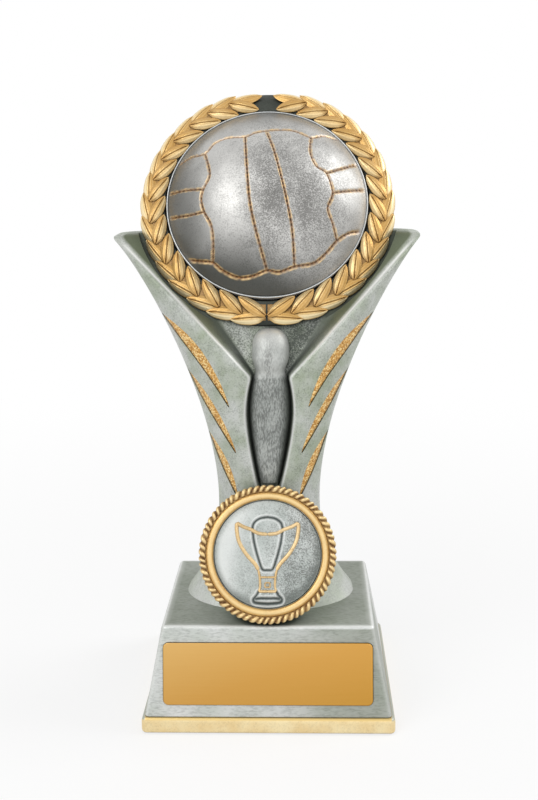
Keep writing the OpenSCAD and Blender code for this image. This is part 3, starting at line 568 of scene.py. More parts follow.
# Sizes and places of the wreath and the medallion, which the column's cuts share
wreath = dict(dome=49.4, ring=49.4 * 1.247, thickness=6.5, fall=2.2, rimStand=0.7, lean=28, rise=6.9,
              setback=12.2, padThickness=0.9, domeRim=2, dowelRadius=1.55, dowelLength=7.5, leafProud=1.0385,
              crestShare=0.14, edgeShare=0.2, edgeCut=0.38)
columnHeight = 89.6
wreathPlace = (turnAbout("X", 90 - wreath["lean"]),
               (0, wreath["setback"], base["top"] + columnHeight + wreath["rise"]))
medal = dict(disc=25.4, discThickness=1.6, pad=0.6, holder=31.4, holderThickness=5, boss=20, bossLength=5.5,
             lean=21, rise=15.8, front=15.2, edgeRound=0.4)
medalPlace = (turnAbout("X", 90 - medal["lean"]), (0, -medal["front"], base["top"] + medal["rise"]))

# Column: halves and depths are given at the foot, the waist and the tips, or the shoulders in front.
# shift is the figure's place beside the middle, by shares of the height.
column = dict(halfWidths=(21, 12.6, wreath["ring"] / 2 + 6.7), backs=(19.5, 13.5, 22), fronts=(12.5, 7.5, 6.6),
              waist=25.1, shoulderDrop=12.5, tipSetback=9.6, tipFace=0.3, bevelTopWidth=8, bevelTopDepth=5.4,
              lensWidth=11.5, lensDepth=3.3, lensLow=19, lensWall=0.5, lensPeak=0.76, lensTop=0.52,
              lensCurve=1.45, lensRamp=0.25, seam=0.6, topRound=1.3, footCurve=2.4, armCurve=1.78,
              setbackCurve=1.15, backCurve=1.6, backRoundX=0.7, backRoundY=0.8, side=0.45, offset=0.9,
              shift=[[0, 0], [0.33, 0.33], [0.7, 1], [0.85, 0.7], [1, 0]])
shoulder = (columnHeight + wreath["rise"] - wreath["ring"] / 2 * math.cos(math.radians(wreath["lean"]))
            - column["shoulderDrop"])


# A measure of the column at height h: its value at the waist, and what it gains to the foot and to
# the tips, by powers of the share of the way there
def fromWaist(h, foot, waist, tip, curve):
    below = np.maximum(0, (column["waist"] - h) / column["waist"])
    above = np.maximum(0, (h - column["waist"]) / (columnHeight - column["waist"]))
    return waist + (foot - waist) * below ** column["footCurve"] + (tip - waist) * above ** curve


# How far up the arms a height is: 0 up to the shoulders, 1 at the tips
def armShare(h):
    return np.maximum(0, (h - shoulder) / (columnHeight - shoulder))


# Outlines of a section. Half width and back are such measures. The front comes forward on a straight
# line from the waist to the shoulders and goes back by a power of the way up the arms, and the widest
# line lies at a fixed share of the depth.
def halfWidth(h):
    return fromWaist(h, *column["halfWidths"], column["armCurve"])


def frontLine(h):
    foot, waist, top = column["fronts"]
    up = np.clip((h - column["waist"]) / (shoulder - column["waist"]), 0, 1)
    return ((waist - top) * up - fromWaist(h, foot, waist, waist, 1)
            + column["tipSetback"] * armShare(h) ** column["setbackCurve"])


def backLine(h):
    return fromWaist(h, *column["backs"], column["backCurve"])


def sideLine(h):
    return frontLine(h) + (backLine(h) - frontLine(h)) * column["side"]


# The lens between the two halves: half its width less a power of the distance from its peak, so it is
# pointed below and closes to a seam at the shoulders
def lensRun(h):
    return (h - column["lensLow"]) / (shoulder - column["lensLow"])


def lensHalf(h):
    t, peak = np.clip(lensRun(h), 0, 1), column["lensPeak"]
    fall = np.where(t < peak, (np.abs(peak - t) / peak) ** column["lensCurve"],
                    ((t - peak) / column["lensTop"]) ** 2)
    return np.maximum(column["seam"], column["lensWidth"] / 2 * (1 - fall))


# The ridge beside the lens, the bevel inside it and the sunk web grow by the way up the arms, and the
# middle shifts sideways by a table
def ridgeX(h):
    reach = column["halfWidths"][2] - column["tipFace"] - lensHalf(shoulder)
    return lensHalf(np.minimum(h, shoulder)) + reach * armShare(h)


def bevelWidth(h):
    return (np.minimum(column["lensWall"], ridgeX(h) / 2)
            + (column["bevelTopWidth"] - column["lensWall"]) * armShare(h))


def webLine(h):
    return (frontLine(h) + column["lensDepth"] * np.clip(lensRun(h) / column["lensRamp"], 0, 1)
            + (column["bevelTopDepth"] - column["lensDepth"]) * armShare(h))


def shiftX(h):
    return column["offset"] * lookUp(h / columnHeight, column["shift"])


# A point of the outer face: a turns a quarter from the ridge to the widest line
def facePoint(h, a, side):
    x = side * ridgeX(h) + shiftX(h) + (side * (halfWidth(h) - ridgeX(h)) - shiftX(h)) * np.sin(a)
    return grid(x, frontLine(h) + (sideLine(h) - frontLine(h)) * (1 - np.cos(a)), base["top"] + h)


# A point of the back: b turns a quarter from the widest line to the middle, on a rounded square
def backPoint(h, b, side):
    x = side * halfWidth(h) * np.maximum(np.cos(b), 0) ** column["backRoundX"]
    return grid(x, sideLine(h) + (backLine(h) - sideLine(h)) * np.sin(b) ** column["backRoundY"],
                base["top"] + h)


# Points of each stretch of a section, on one side: web, bevel, face and back
webCount, bevelCount, faceCount, backCount = 9, 7, 45, 27
ridgeColumn = webCount + bevelCount - 1
widestColumn = ridgeColumn + faceCount


# The level sections of the column over all heights, the right side and then the left: web and bevel
# are straight, and face and back are the curves above
def columnRings(heights):
    h = heights[:, None]
    webX = ridgeX(h) - bevelWidth(h)
    webShare, bevelShare = np.linspace(0, 1, webCount), np.linspace(0, 1, bevelCount + 1)[1:]
    faceTurn = math.pi / 2 * np.linspace(0, 1, faceCount + 1)[1:] ** 1.25
    right, left = (np.concatenate([
        grid(side * webX * webShare + shiftX(h), webLine(h), base["top"] + h),
        grid(side * (webX + bevelWidth(h) * bevelShare) + shiftX(h),
             webLine(h) + (frontLine(h) - webLine(h)) * bevelShare, base["top"] + h),
        facePoint(h, faceTurn, side),
        backPoint(h, quarterTurn(backCount + 1)[1:], side)], 1) for side in (1, -1))
    return np.concatenate([right, left[:, -2:0:-1]], 1)


heights = np.concatenate([np.linspace(0, shoulder, 200)[:-1], np.linspace(shoulder, columnHeight, 130)])
rings = columnRings(heights)
columns = rings.shape[1]
away = np.minimum(np.arange(columns), columns - np.arange(columns))  # points between each and the middle

# The ridge, the foot of the bevel and the shoulders are cast with soft edges: points near them move
# to the middle of their neighbours, a little at a time
softAcross = np.maximum(bell(away - ridgeColumn, 3), 0.5 * bell(away - webCount + 1, 2))[None, :, None]
softUp = bell(heights[1:-1] - shoulder, 1)[:, None, None]
for _ in range(10):
    middle = (np.roll(rings, 1, 1) + np.roll(rings, -1, 1)) / 2
    rings = rings + 0.5 * softAcross * (middle - rings)
    middle = (rings[:-2] + rings[2:]) / 2
    rings[1:-1, :, :2] += 0.5 * softUp * (middle - rings[1:-1])[..., :2]

# The arm tips turn over at the top: the last levels are drawn in along a quarter circle, by less
# near the widest line, where front and back meet
turned = np.clip((heights - columnHeight + column["topRound"]) / column["topRound"], 0, 1)
drawIn = column["topRound"] * (1 - np.sqrt(1 - turned ** 2))[:, None]
rings[..., 1] += drawIn * np.tanh((sideLine(heights)[:, None] - rings[..., 1]) / 2)
rings[..., 0] -= drawIn * (rings[..., 0] / halfWidth(heights)[:, None]) ** 7


# Traits: edge is the rubbed ridge, with a painted highlight on the flared foot; wash is the dark wash of
# the bevel and the sunk web together with painted shade, darker on the bevels' faces, on the right web
# and up towards the wreath; shade is painted shade that darkens the arms' bevels to green; pits is the
# web's stipple, crowded more on the right web as painted shade. run is the way along a section.
def columnTraits(rings):
    step = np.linalg.norm(np.diff(rings, axis=1, append=rings[:, :1]), axis=2)
    run = np.cumsum(step, 1) - step
    fromRidge = np.abs(run[..., None] - run[:, None, [ridgeColumn, columns - ridgeColumn]]).min(-1)
    h, onArm = heights[:, None], armShare(heights)[:, None]
    # The foot of the outer faces is made paler by a painted highlight
    edge = (bell(fromRidge, 0.42) * rise(columnHeight - h, 0.5, 4)
            + 0.22 * (1 - rise(h, 2, 9)) * (away >= ridgeColumn))
    inside, isWeb = away < ridgeColumn - 1, away < webCount - 1
    # The right web is darker than the left, by painted shade in wash and pits
    rightShadeSign = np.where(np.arange(columns) < columns / 2, 1, -1)
    across = np.clip((away - webCount + 1) / bevelCount, 0, 1)
    webWashAndShade = 0.16 + 0.16 * rightShadeSign + 0.4 * rise(onArm, 0.1, 0.5)
    bevelWashAndShade = (0.95 - 0.5 * rise(onArm, 0.1, 0.7)) * (1 - rise(across, 0.05, 0.8))
    shade = rise(onArm, 0, 0.5) * (0.95 - 0.5 * rise(across, 0.6, 1) * (1 - rise(onArm, 0.6, 0.9)))
    pits = (0.65 + 0.2 * rightShadeSign) * rise(h, shoulder - 1, shoulder + 1)
    return {"edge": edge * (1 - 0.6 * inside), "wash": inside * np.where(isWeb, webWashAndShade, bevelWashAndShade),
            "pits": isWeb * pits, "shade": inside * ~isWeb * shade}


# Slashes, by rows from the top: heights and places across the half width of three points, and a
# share of the full width
slashes = dict(width=2.8, depth=0.9, sink=0.2, taper=0.8, fine=0.12, crown=0.12, roughness=0.05, steps=60,
               rows=[[0.790, 0.694, 0.553, 0.985, 0.780, 0.560, 1.00],
                     [0.640, 0.553, 0.427, 0.990, 0.835, 0.565, 0.92],
                     [0.470, 0.392, 0.300, 0.990, 0.800, 0.600, 0.95]])


# A slash runs on a parabola through three places of the face; its strip is widest in the middle.
# across and height give the section of the strip, in half widths and millimetres.
def slashRings(row, side, spread, across, height):
    def bend(a, b, c, t):
        return a * (1 - t) * (1 - 2 * t) + b * 4 * t * (1 - t) + c * t * (2 * t - 1)

    def place(t):
        h = columnHeight * bend(*row[:3], t)
        x = halfWidth(h) * bend(*row[3:6], t)
        return h, np.arcsin(np.clip((x - ridgeX(h)) / (halfWidth(h) - ridgeX(h)), 0, 1))

    def unit(v):
        return v / np.linalg.norm(v, axis=-1, keepdims=True)

    t = np.linspace(0, 1, slashes["steps"])
    h, turn = place(t)
    up = facePoint(h + 0.1, turn, side) - facePoint(h - 0.1, turn, side)
    along = facePoint(h, turn + 0.02, side) - facePoint(h, turn - 0.02, side)
    normal = side * unit(np.cross(along, up))
    ahead = facePoint(*place(t + 0.01), side) - facePoint(*place(t - 0.01), side)
    wide = unit(np.cross(normal, unit(ahead)))
    half = slashes["fine"] + spread + slashes["width"] / 2 * row[6] * np.sin(
        np.pi * t ** slashes["taper"]) ** slashes["taper"]
    return (facePoint(h, turn, side)[:, None] + wide[:, None] * (half[:, None] * across)[..., None]
            + normal[:, None] * height[None, :, None])


slotHeight = np.array([-slashes["depth"], -slashes["depth"], 1.5, 1.5])
# The slots' walls are darkened, partly as dark wash and partly as painted shade inside the slots
slots = [tube(slashRings(row, side, 0, np.array([-1, 1, 1, -1]), slotHeight), {"wash": 0.45})
         for side in (-1, 1) for row in slashes["rows"]]
dowels = [moved(rod(wreath["dowelRadius"], 0, wreath["dowelLength"], 32),
                (np.eye(3), (side * wreath["ring"] / 5, -wreath["ring"] / 4, -wreath["thickness"] - 5)))
          for side in (-1, 1)]
# The walls round the ring and the leaves carry dark wash and painted shade: the shadow that the wreath casts on
# the column round its edge
ringRoom = rod(wreath["ring"] / 2 + fit, -wreath["thickness"], clear, traits={"wash": 0.9})
leafRoom = rod(wreath["ring"] / 2 * wreath["leafProud"] + 0.3, -wreath["fall"], clear,
               traits={"wash": 0.9, "shade": 0.9})
holderBack = -medal["holderThickness"]
holderRoom = lathe([[medal["boss"] / 2 + fit, holderBack - medal["bossLength"]],
                    [medal["holder"] / 2 + fit, holderBack], [medal["holder"] / 2 + fit, 30]], 192)
insertRoom = rod(base["insertRadius"], 0, base["top"] + base["insertDepth"], 48)
addPiece("castColumn", [tube(rings, columnTraits(rings), corner=widestColumn)], antiqueResin, "column",
         cutters=[moved(shell, wreathPlace) for shell in [ringRoom, leafRoom, *dowels]]
         + [moved(holderRoom, medalPlace), moved(insertRoom, atStud)] + slots)

# Glitter lies in the slots with a slightly crowned, rough top
topAcross = np.linspace(-1, 1, 9)
topHeight = -slashes["sink"] - slashes["crown"] * topAcross ** 2
stripHeight = np.concatenate([topHeight, [fit - slashes["depth"]] * 2])
rough = np.random.default_rng(5)
for side, name, node in ((-1, "glitterLeft", "slash_inlays_left"), (1, "glitterRight", "slash_inlays_right")):
    strips = []
    for row in slashes["rows"]:
        rings = slashRings(row, side, -fit, np.append(topAcross, [1, -1]), stripHeight)
        rings[1:-1, 1:8] += rough.uniform(-slashes["roughness"], slashes["roughness"], rings[1:-1, 1:8].shape)
        strips.append(tube(rings))
    addPiece(name, strips, glitter, node)

# Centre figure: gap is what stays free beside the torso, by shares of the lens
figure = dict(low=30.6, swell=2.8, thinSwell=0.35, thinHalf=4.55, neck=6.0, neckSwell=2.5, neckRise=1.9,
              headWidth=8.9, headHeight=11, headRise=10.8, headSwell=4.2, blunt=2.6, glue=0.06, fine=0.12,
              gap=[[0.3, 0.5], [0.42, 0.62], [0.58, 0.75], [0.8, 0.75], [0.94, 0.5], [1, 0.4]])
frontCount, rearCount = 49, 7


# A torso that fills the lens, a neck and an oval head: each level is half an ellipse on a flat back.
# The neck runs into the torso and the head over smooth steps.
def figureRings():
    h = np.concatenate([np.linspace(figure["low"], shoulder - 2, 90)[:-1],
                        shoulder - 2 + (figure["headRise"] + 2) * np.sin(quarterTurn(90))])
    torso = np.maximum(figure["fine"], lensHalf(np.minimum(h, shoulder)) - lookUp(lensRun(h), figure["gap"]))
    halfHead = figure["headHeight"] / 2
    run = np.clip((h - shoulder - figure["headRise"] + halfHead) / halfHead, -1, 1)
    oval = (1 - np.abs(run) ** figure["blunt"]) ** (1 / figure["blunt"])
    widen = rise(run, -1.05, -0.15)
    up = rise(h, shoulder - 1.1, shoulder + figure["neckRise"])

    def neckToHead(neck, head):
        return np.where(run < 0, neck + (head - neck) * widen, head * oval)

    half = torso * (1 - up) + neckToHead(figure["neck"] / 2, figure["headWidth"] / 2) * up
    slim = np.minimum(1, figure["thinSwell"] + (1 - figure["thinSwell"]) * half / figure["thinHalf"])
    swell = figure["swell"] * slim * (1 - up) + neckToHead(figure["neckSwell"], figure["headSwell"]) * up
    half, swell = np.maximum(2 * figure["fine"], half)[:, None], np.maximum(figure["fine"], swell)[:, None]
    a = np.linspace(0, math.pi, frontCount)
    middle, web, level = (line[:, None] for line in (shiftX(h), webLine(h) - figure["glue"], base["top"] + h))
    front = grid(middle + half * np.cos(a), web - swell * np.sin(a) - figure["fine"], level)
    rear = grid(middle + half * np.linspace(-1, 1, rearCount), web, level)
    return h, np.concatenate([front, rear], 1)


# The torso darkens towards its sides, as dark wash in the crevices and as painted shade on its round sides,
# and is streaked; the head is paler, with a painted highlight towards its top
def figureTraits(h):
    across = np.append(np.cos(np.linspace(0, math.pi, frontCount)), np.ones(rearCount))
    torso = 1 - rise(h, shoulder - 1, shoulder + 1)[:, None]
    topHighlight = rise(h, shoulder + 5, shoulder + figure["headRise"])[:, None]
    return {"wash": torso * (0.04 + 0.8 * rise(np.abs(across + 0.08), 0.45, 1)),
            "pits": 0.45 * torso + (1 - torso) * (0.7 * bell(across + 0.1, 0.3) + 0.1),
            "edge": (1 - torso) * (0.3 + 0.4 * topHighlight)}


h, rings = figureRings()
addPiece("centreFigure", [tube(rings, figureTraits(h))], figureResin, "centre_figure")

# Medallion holder: a disc on a tapered boss that runs into the column, with a pocket for the insert
holderRadius, discRadius = medal["holder"] / 2, medal["disc"] / 2
turn, edge = quarterTurn(7)[1:], medal["edgeRound"]
holderProfile = np.vstack([
    [[medal["boss"] / 2, holderBack - medal["bossLength"]], [holderRadius - 0.05, holderBack - 0.05],
     [holderRadius, holderBack + 0.1], [holderRadius, -0.5]],
    np.stack([holderRadius - edge * (1 - np.cos(turn)), -edge + edge * np.sin(turn)], -1)])
pocket = rod(discRadius + fit, -medal["discThickness"] - medal["pad"], 4)
underTop = tube(roundedRings(30, 54, 54, 1, [0, base["top"] + 0.1]))
addPiece("medallionHolder", [moved(lathe(holderProfile, 240), medalPlace)], antiqueResin,
         "medallion_holder", cutters=[moved(pocket, medalPlace), underTop])

# Rope bezel: band is the section of the smooth band, in shares of its width and height
rope = dict(bandWidth=1.75, bandHeight=1.0, cord=1.75, turns=64, furrow=0.42, twist=-1.5, middle=0.38,
            sharp=1.5, stepsPerTurn=13, back=0.06,
            band=[[0, 0.06], [0.0114, 0.5], [0.08, 0.8], [0.2, 0.95], [0.4, 1], [0.6, 1], [0.78, 0.93],
                  [0.9, 0.8], [1, 0.6]])


# A smooth band and a rope edge. The cord's radius dips in narrow furrows that wind round it.
def bezelShell():
    inner, radius = discRadius + 0.2, rope["cord"] / 2
    turn = fullTurn(rope["turns"] * rope["stepsPerTurn"])[:, None]
    a = np.radians(np.linspace(150, -15, 20))
    # the strands are cut by hand, so their steps and depths wander
    wander = 0.5 * np.sin(5 * turn + 1) + 0.45 * np.sin(13 * turn + 2) + 0.35 * np.sin(23 * turn)
    depth = 0.8 + 0.2 * np.sin(9 * turn + 1) * np.sin(17 * turn)
    furrow = depth * ((1 + np.cos(rope["turns"] * turn + wander + rope["twist"] * a)) / 2) ** rope["sharp"]
    reach = radius - rope["furrow"] * furrow
    bandX, bandZ = np.transpose(rope["band"])
    one = np.ones((len(turn), 1))
    r = np.hstack([one * (inner + rope["bandWidth"] * bandX),
                   inner + rope["bandWidth"] + radius + reach * np.cos(a), one * (holderRadius + 0.1)])
    z = np.hstack([one * rope["bandHeight"] * bandZ, radius * rope["middle"] + reach * np.sin(a),
                   one * rope["back"]])
    dirt = np.hstack([one * np.append(0 * bandX[1:], 0.7), furrow ** 0.7, one])
    bright = np.hstack([one * 0.6 * rise(bandZ, 0.9, 1), 0.7 * (1 - furrow) ** 3, 0 * one])
    return tube(onCircles(r, turn, z), {"wash": dirt, "edge": bright}, loop=True)


addPiece("ropeBezel", [moved(bezelShell(), medalPlace)], gilding, "rope_bezel", crease=60)

# The cup emblem: one half of each line, in shares of the disc's radius. Gold lines are raised and
# start with their width; dark ones are furrows beside a pale halo.
cup = dict(lineHeight=0.32, lineSink=0.08, furrow=0.18, furrowReach=0.28, haloRise=0.05, haloAt=0.6,
           haloReach=0.22, dish=0.12,
           gold=[(0.9, [[0, 0.365], [0.18, 0.388], [0.31, 0.455], [0.46, 0.51], [0.58, 0.58]]),
                 (0.95, [[0.58, 0.58], [0.575, 0.42], [0.53, 0.22], [0.4, 0], [0.23, -0.19], [0.17, -0.3]]),
                 (0.6, [[0.17, -0.3], [0.145, -0.44], [0.14, -0.6], [0.16, -0.69]]),
                 (0.55, [[0.14, -0.43], [0, -0.43]]), (0.7, [[0, -0.69], [0.16, -0.69]]),
                 (0.4, [[0.045, -0.53], [0.045, -0.61], [0, -0.61]]), (0.4, [[0.045, -0.53], [0, -0.53]])],
           dark=[[[0, 0.685], [0.14, 0.66], [0.25, 0.58], [0.285, 0.47]],
                 [[0.275, 0.4], [0.255, 0.24], [0.205, 0.03], [0.14, -0.18], [0.09, -0.29], [0, -0.3]],
                 [[0.16, -0.69], [0.21, -0.77], [0.265, -0.84], [0.22, -0.9], [0, -0.92]],
                 [[0, -0.82], [0.14, -0.82], [0.22, -0.83]]])
bothSides = lambda path: [np.array(path) * (side * discRadius, discRadius) for side in (1, -1)]


# Disc: rings from the rim to the middle. Lines sink by bells of their distance to the emblem's paths.
def discShell():
    face = np.linspace(discRadius - 0.25, 0.1, 110)
    radius = np.append([discRadius - 0.1, discRadius, discRadius, discRadius - 0.07], face)[:, None]
    level = np.append([-medal["discThickness"], -medal["discThickness"] + 0.1, -0.15, -0.03], 0 * face)[:, None]
    x, y, _ = np.moveaxis(onCircles(radius, fullTurn(360), 0), -1, 0)
    spots = np.stack([x, y], -1).reshape(-1, 2)
    near = np.min([pathDistance(spots, smoothPath(path))[0]
                   for half in cup["dark"] for path in bothSides(half)], 0).reshape(x.shape)
    top = np.arange(len(radius))[:, None] >= 4
    line, halo = bell(near, cup["furrowReach"]), bell(near - cup["haloAt"], cup["haloReach"])
    z = level + top * (cup["haloRise"] * halo - cup["furrow"] * line - cup["dish"] * rise(radius, 8, 12.4))
    # painted highlight at the left, and painted shade round the edge and towards the lower right, where pits also
    # crowd dark specks
    paintedHighlight = 0.75 * rise(-x + 0.25 * y, 4, 10) * (1 - rise(radius, 11, 12.6))
    return tube(grid(x, y, z), {
        "line": line * top, "halo": np.maximum(halo * 0.7, paintedHighlight) * top,
        "shade": 0.7 * rise(radius + 0.05 * x - 0.1 * y, 11, 13.2), "pits": 0.6 * rise(x - 0.3 * y, -4, 7)})


# A raised line: half a round section carried along a flat path, with tapered ends
def raisedLine(path, width):
    ahead = np.gradient(path, axis=0)
    ahead /= np.linalg.norm(ahead, axis=1, keepdims=True)
    wide = np.stack([ahead[:, 1], -ahead[:, 0]], -1)
    a, t = np.linspace(0, math.pi, 9), np.linspace(0, 1, len(path))[:, None]
    across = np.cos(a) * width / 2 * (0.5 + 0.5 * rise(np.minimum(t, 1 - t), 0, 0.06))
    x, y = path.T[..., None] + wide.T[..., None] * across
    return tube(grid(x, y, np.sin(a) * (cup["lineHeight"] + cup["lineSink"]) - cup["lineSink"]))


addPiece("centreDisc", [moved(discShell(), medalPlace)], discSilver, "centre_disc")
lines = [moved(raisedLine(smoothPath(path, 10), width), medalPlace)
         for width, half in cup["gold"] for path in bothSides(half)]
addPiece("cupEmblem", lines, emblemGilding, "cup_relief", crease=60)
print("medallion done")

# Wreath ring: its face falls outwards from the pocket's lip, past the stem of the branches
outerRadius, pocketRadius = wreath["ring"] / 2, wreath["dome"] / 2 + 0.4
faceWidth = outerRadius - pocketRadius
stemRadius = pocketRadius + faceWidth / 2
crestFall = wreath["rimStand"] + (wreath["fall"] - wreath["rimStand"]) * wreath["crestShare"]
ringEdge, ringBack = wreath["thickness"] * wreath["edgeShare"], -wreath["thickness"]
edgeCut = ringEdge * wreath["edgeCut"]
ringProfile = [[outerRadius - ringEdge, ringBack], [outerRadius - edgeCut, ringBack + edgeCut],
               [outerRadius, ringBack + ringEdge], [outerRadius, -wreath["fall"] - 0.3],
               [outerRadius - 0.25, -wreath["fall"] + 0.05], [stemRadius, -crestFall],
               [pocketRadius + 0.2, -wreath["rimStand"]], [pocketRadius, -wreath["rimStand"] - 0.15],
               [pocketRadius, -wreath["domeRim"] - wreath["padThickness"] - fit]]
addPiece("wreathRing", [moved(lathe(ringProfile, 256), wreathPlace)], backingResin, "wreath_ring",
         cutters=[moved(shell, wreathPlace) for shell in dowels])

# Leaves: outline and rib are half widths and heights along a leaf. Angles along the branch are from
# the bottom, and root is the radius that the leaves start from.
leaf = dict(pairs=15, thickness=wreath["ring"] * 0.025, low=0.34, ribShare=0.56,
            outline=[[0, 0.13], [0.2, 0.42], [0.45, 0.5], [0.75, 0.38], [0.93, 0.17], [1, 0.02]],
            rib=[[0, 0.35], [0.05, 0.45], [0.4, 1], [0.75, 0.8], [1, 0.15]],
            across=[0, .1, .2, .32, .44, .56, .68, .8, .92, 1], under=[0.7, 0.3, -0.3, -0.7],
            groove=0.24, grooveReach=0.12, furrows=17, furrowDepth=0.08,
            firstRoot=0.5, lastRoot=160.5, branchEnd=168, root=29.03, lastBend=9)
# Each row of leaves: length and width in shares of the ring, turn, rise and roll in degrees, level,
# and the half that takes a painted highlight, the other half taking painted shade
leafRows = dict(outer=dict(length=0.139, width=0.058, turn=-4, rise=-3, roll=19, level=-0.85, bright=-1),
                inner=dict(length=0.129, width=0.053, turn=37, rise=4, roll=-4, level=-0.49, bright=1))


# A leaf along X: a pointed oval of two nearly flat halves that meet at a rib with a fine groove on it,
# with a few fine furrows beside the rib
def leafShell(length, width, bright):
    u = np.linspace(0, 1, 30)[:, None]
    s = np.array(leaf["across"])
    s = np.append(-s[:0:-1], s)
    half = lookUp(u, smoothPath(leaf["outline"])) * width
    top = lookUp(u, smoothPath(leaf["rib"])) * leaf["thickness"] * leaf["ribShare"]
    groove = bell(s * half, leaf["grooveReach"])
    furrows = 0.5 + 0.5 * np.cos(np.abs(s) * leaf["furrows"])
    swell = 0.85 * (1 - np.abs(s)) + 0.15 * (1 - s ** 2) + 0.2 * np.sin(np.pi * np.abs(s))
    z = (top * swell - leaf["groove"] * groove * rise(half, 0.1, 0.6)
         - leaf["furrowDepth"] * furrows * rise(half, 0.3, 0.9))
    under = np.ones((len(u), len(leaf["under"])))
    underZ = -leaf["thickness"] * leaf["low"] * rise(u, -0.1, 0.3) * rise(1.02 - u, 0, 0.4) * under
    wash = 0.5 * groove + 0.5 * rise(np.abs(s), 0.9, 1) + 0.6 * (1 - rise(u, 0, 0.22))
    # One half takes a painted highlight, stronger on the outer row, and the other half and the furrows take
    # painted shade
    pale = rise(bright * s, 0.15, 0.5) * (1 - rise(np.abs(s), 0.8, 0.95)) * rise(u, 0.08, 0.3)
    dull = 0.4 * rise(-bright * s, 0.05, 0.3) + 0.4 * furrows + 0 * u
    return tube(grid(u * length, half * np.append(s, leaf["under"]), np.hstack([z, underZ])),
                {"wash": np.hstack([np.minimum(wash, 1), under]), "shade": np.hstack([dull, 0 * under]),
                 "edge": np.hstack([(0.6 - 0.25 * bright) * pale, 0 * under])})


# The stem: a ridged band bent round the ring under the leaves
def stemShell():
    wide, high = faceWidth * 0.66, 0.2 - crestFall
    fall = crestFall + (wreath["fall"] - crestFall) * wide / faceWidth
    x, z = np.transpose([[-wide / 2, -wreath["rimStand"] - 0.1], [0, -crestFall], [wide / 2, -fall],
                         [wide / 3, high * 0.6 - fall * 0.4], [wide / 4, high - 0.1], [0, high],
                         [-wide / 4, high - 0.1], [-wide / 2.6, high * 0.5 - wreath["rimStand"] * 0.5]])
    turn = np.radians(np.linspace(leaf["firstRoot"] - 90, leaf["branchEnd"] - 90, 120))[:, None]
    return tube(onCircles(stemRadius + x, turn, z + 0.1), {"wash": 0.8})


# A branch: each leaf is turned a little at random, and the last outer one bends in. The left branch
# is the right one mirrored.
def branch(side):
    shells, vary = [stemShell()], np.random.default_rng(11)
    for angle in np.linspace(leaf["firstRoot"], leaf["lastRoot"], leaf["pairs"]) - 90:
        for name, row in leafRows.items():
            bend = leaf["lastBend"] if name == "outer" and angle > leaf["lastRoot"] - 91 else 0
            lean = (turnAbout("Z", 90 + row["turn"]) @ turnAbout("Y", -row["rise"]) @ turnAbout("X", row["roll"])
                    @ turnAbout("X", vary.uniform(-3, 3)) @ turnAbout("Z", vary.uniform(-2, 2) + bend))
            shell = leafShell(row["length"] * wreath["ring"] * vary.uniform(0.97, 1.02),
                              row["width"] * wreath["ring"], row["bright"])
            around = turnAbout("Z", angle)
            shells.append(moved(shell, (around @ lean, around @ np.array([leaf["root"], 0, row["level"]]))))
    mirror = (np.diag([side, 1, 1]), (0, 0, 0))
    return [moved(turnedOut(moved(shell, mirror)), wreathPlace) for shell in shells]


for side, name in ((1, "right"), (-1, "left")):
    addPiece("leaves_" + name, branch(side), laurelGilding, "laurel_" + name, crease=50)

# Ball: the seams' paths are in shares of the cap's radius, and rim is the section of the rim, inward
# from the dome's radius and up, with how bright it is rubbed
ball = dict(height=12, lip=0.4, seamWidth=0.23, seamDepth=0.34, pillow=0.14, pillowReach=2.4, stitch=1.1,
            stitchDepth=0.06, lipAt=0.34, lipReach=0.13, lipHeight=0.05, deepReach=0.16,
            rim=[[0.1, -2, 0], [0, -1.9, 0], [0, 0.05, 0], [0.06, 0.16, 0.3], [0.16, 0.2, 0.8], [0.3, 0.17, 0.1]],
            seams=[[[-0.21, 0.56], [-0.18, 0.12], [-0.15, -0.2], [-0.09, -0.48], [0.01, -0.81]],
                   [[0.01, 0.6], [0.08, 0.37], [0.15, 0.08], [0.21, -0.19], [0.26, -0.46], [0.28, -0.77]],
                   [[-0.62, 0.43], [-0.57, 0.24], [-0.56, 0.12], [-0.62, 0], [-0.64, -0.1], [-0.61, -0.23],
                    [-0.54, -0.37], [-0.52, -0.52], [-0.53, -0.7]],
                   [[0.45, 0.59], [0.44, 0.38], [0.5, 0.22], [0.6, 0.16], [0.66, -0.04], [0.61, -0.21],
                    [0.66, -0.35], [0.7, -0.49]],
                   [[-0.95, 0.41], [-0.78, 0.45], [-0.62, 0.43], [-0.52, 0.54], [-0.39, 0.58], [-0.21, 0.56],
                    [-0.1, 0.61], [0.13, 0.65], [0.29, 0.65], [0.45, 0.59], [0.58, 0.67], [0.73, 0.68]],
                   [[-0.78, -0.62], [-0.66, -0.66], [-0.53, -0.7], [-0.43, -0.78], [-0.28, -0.85],
                    [-0.13, -0.85], [0.01, -0.81], [0.13, -0.82], [0.28, -0.77], [0.47, -0.72], [0.6, -0.61],
                    [0.7, -0.49], [0.82, -0.39], [0.94, -0.33]],
                   [[-0.62, 0], [-0.8, 0.05], [-0.99, 0.1]], [[-0.61, -0.23], [-0.78, -0.22], [-0.97, -0.17]],
                   [[0.6, 0.16], [0.76, 0.27], [0.91, 0.4]], [[0.66, -0.04], [0.82, 0.03], [0.99, 0.12]]])


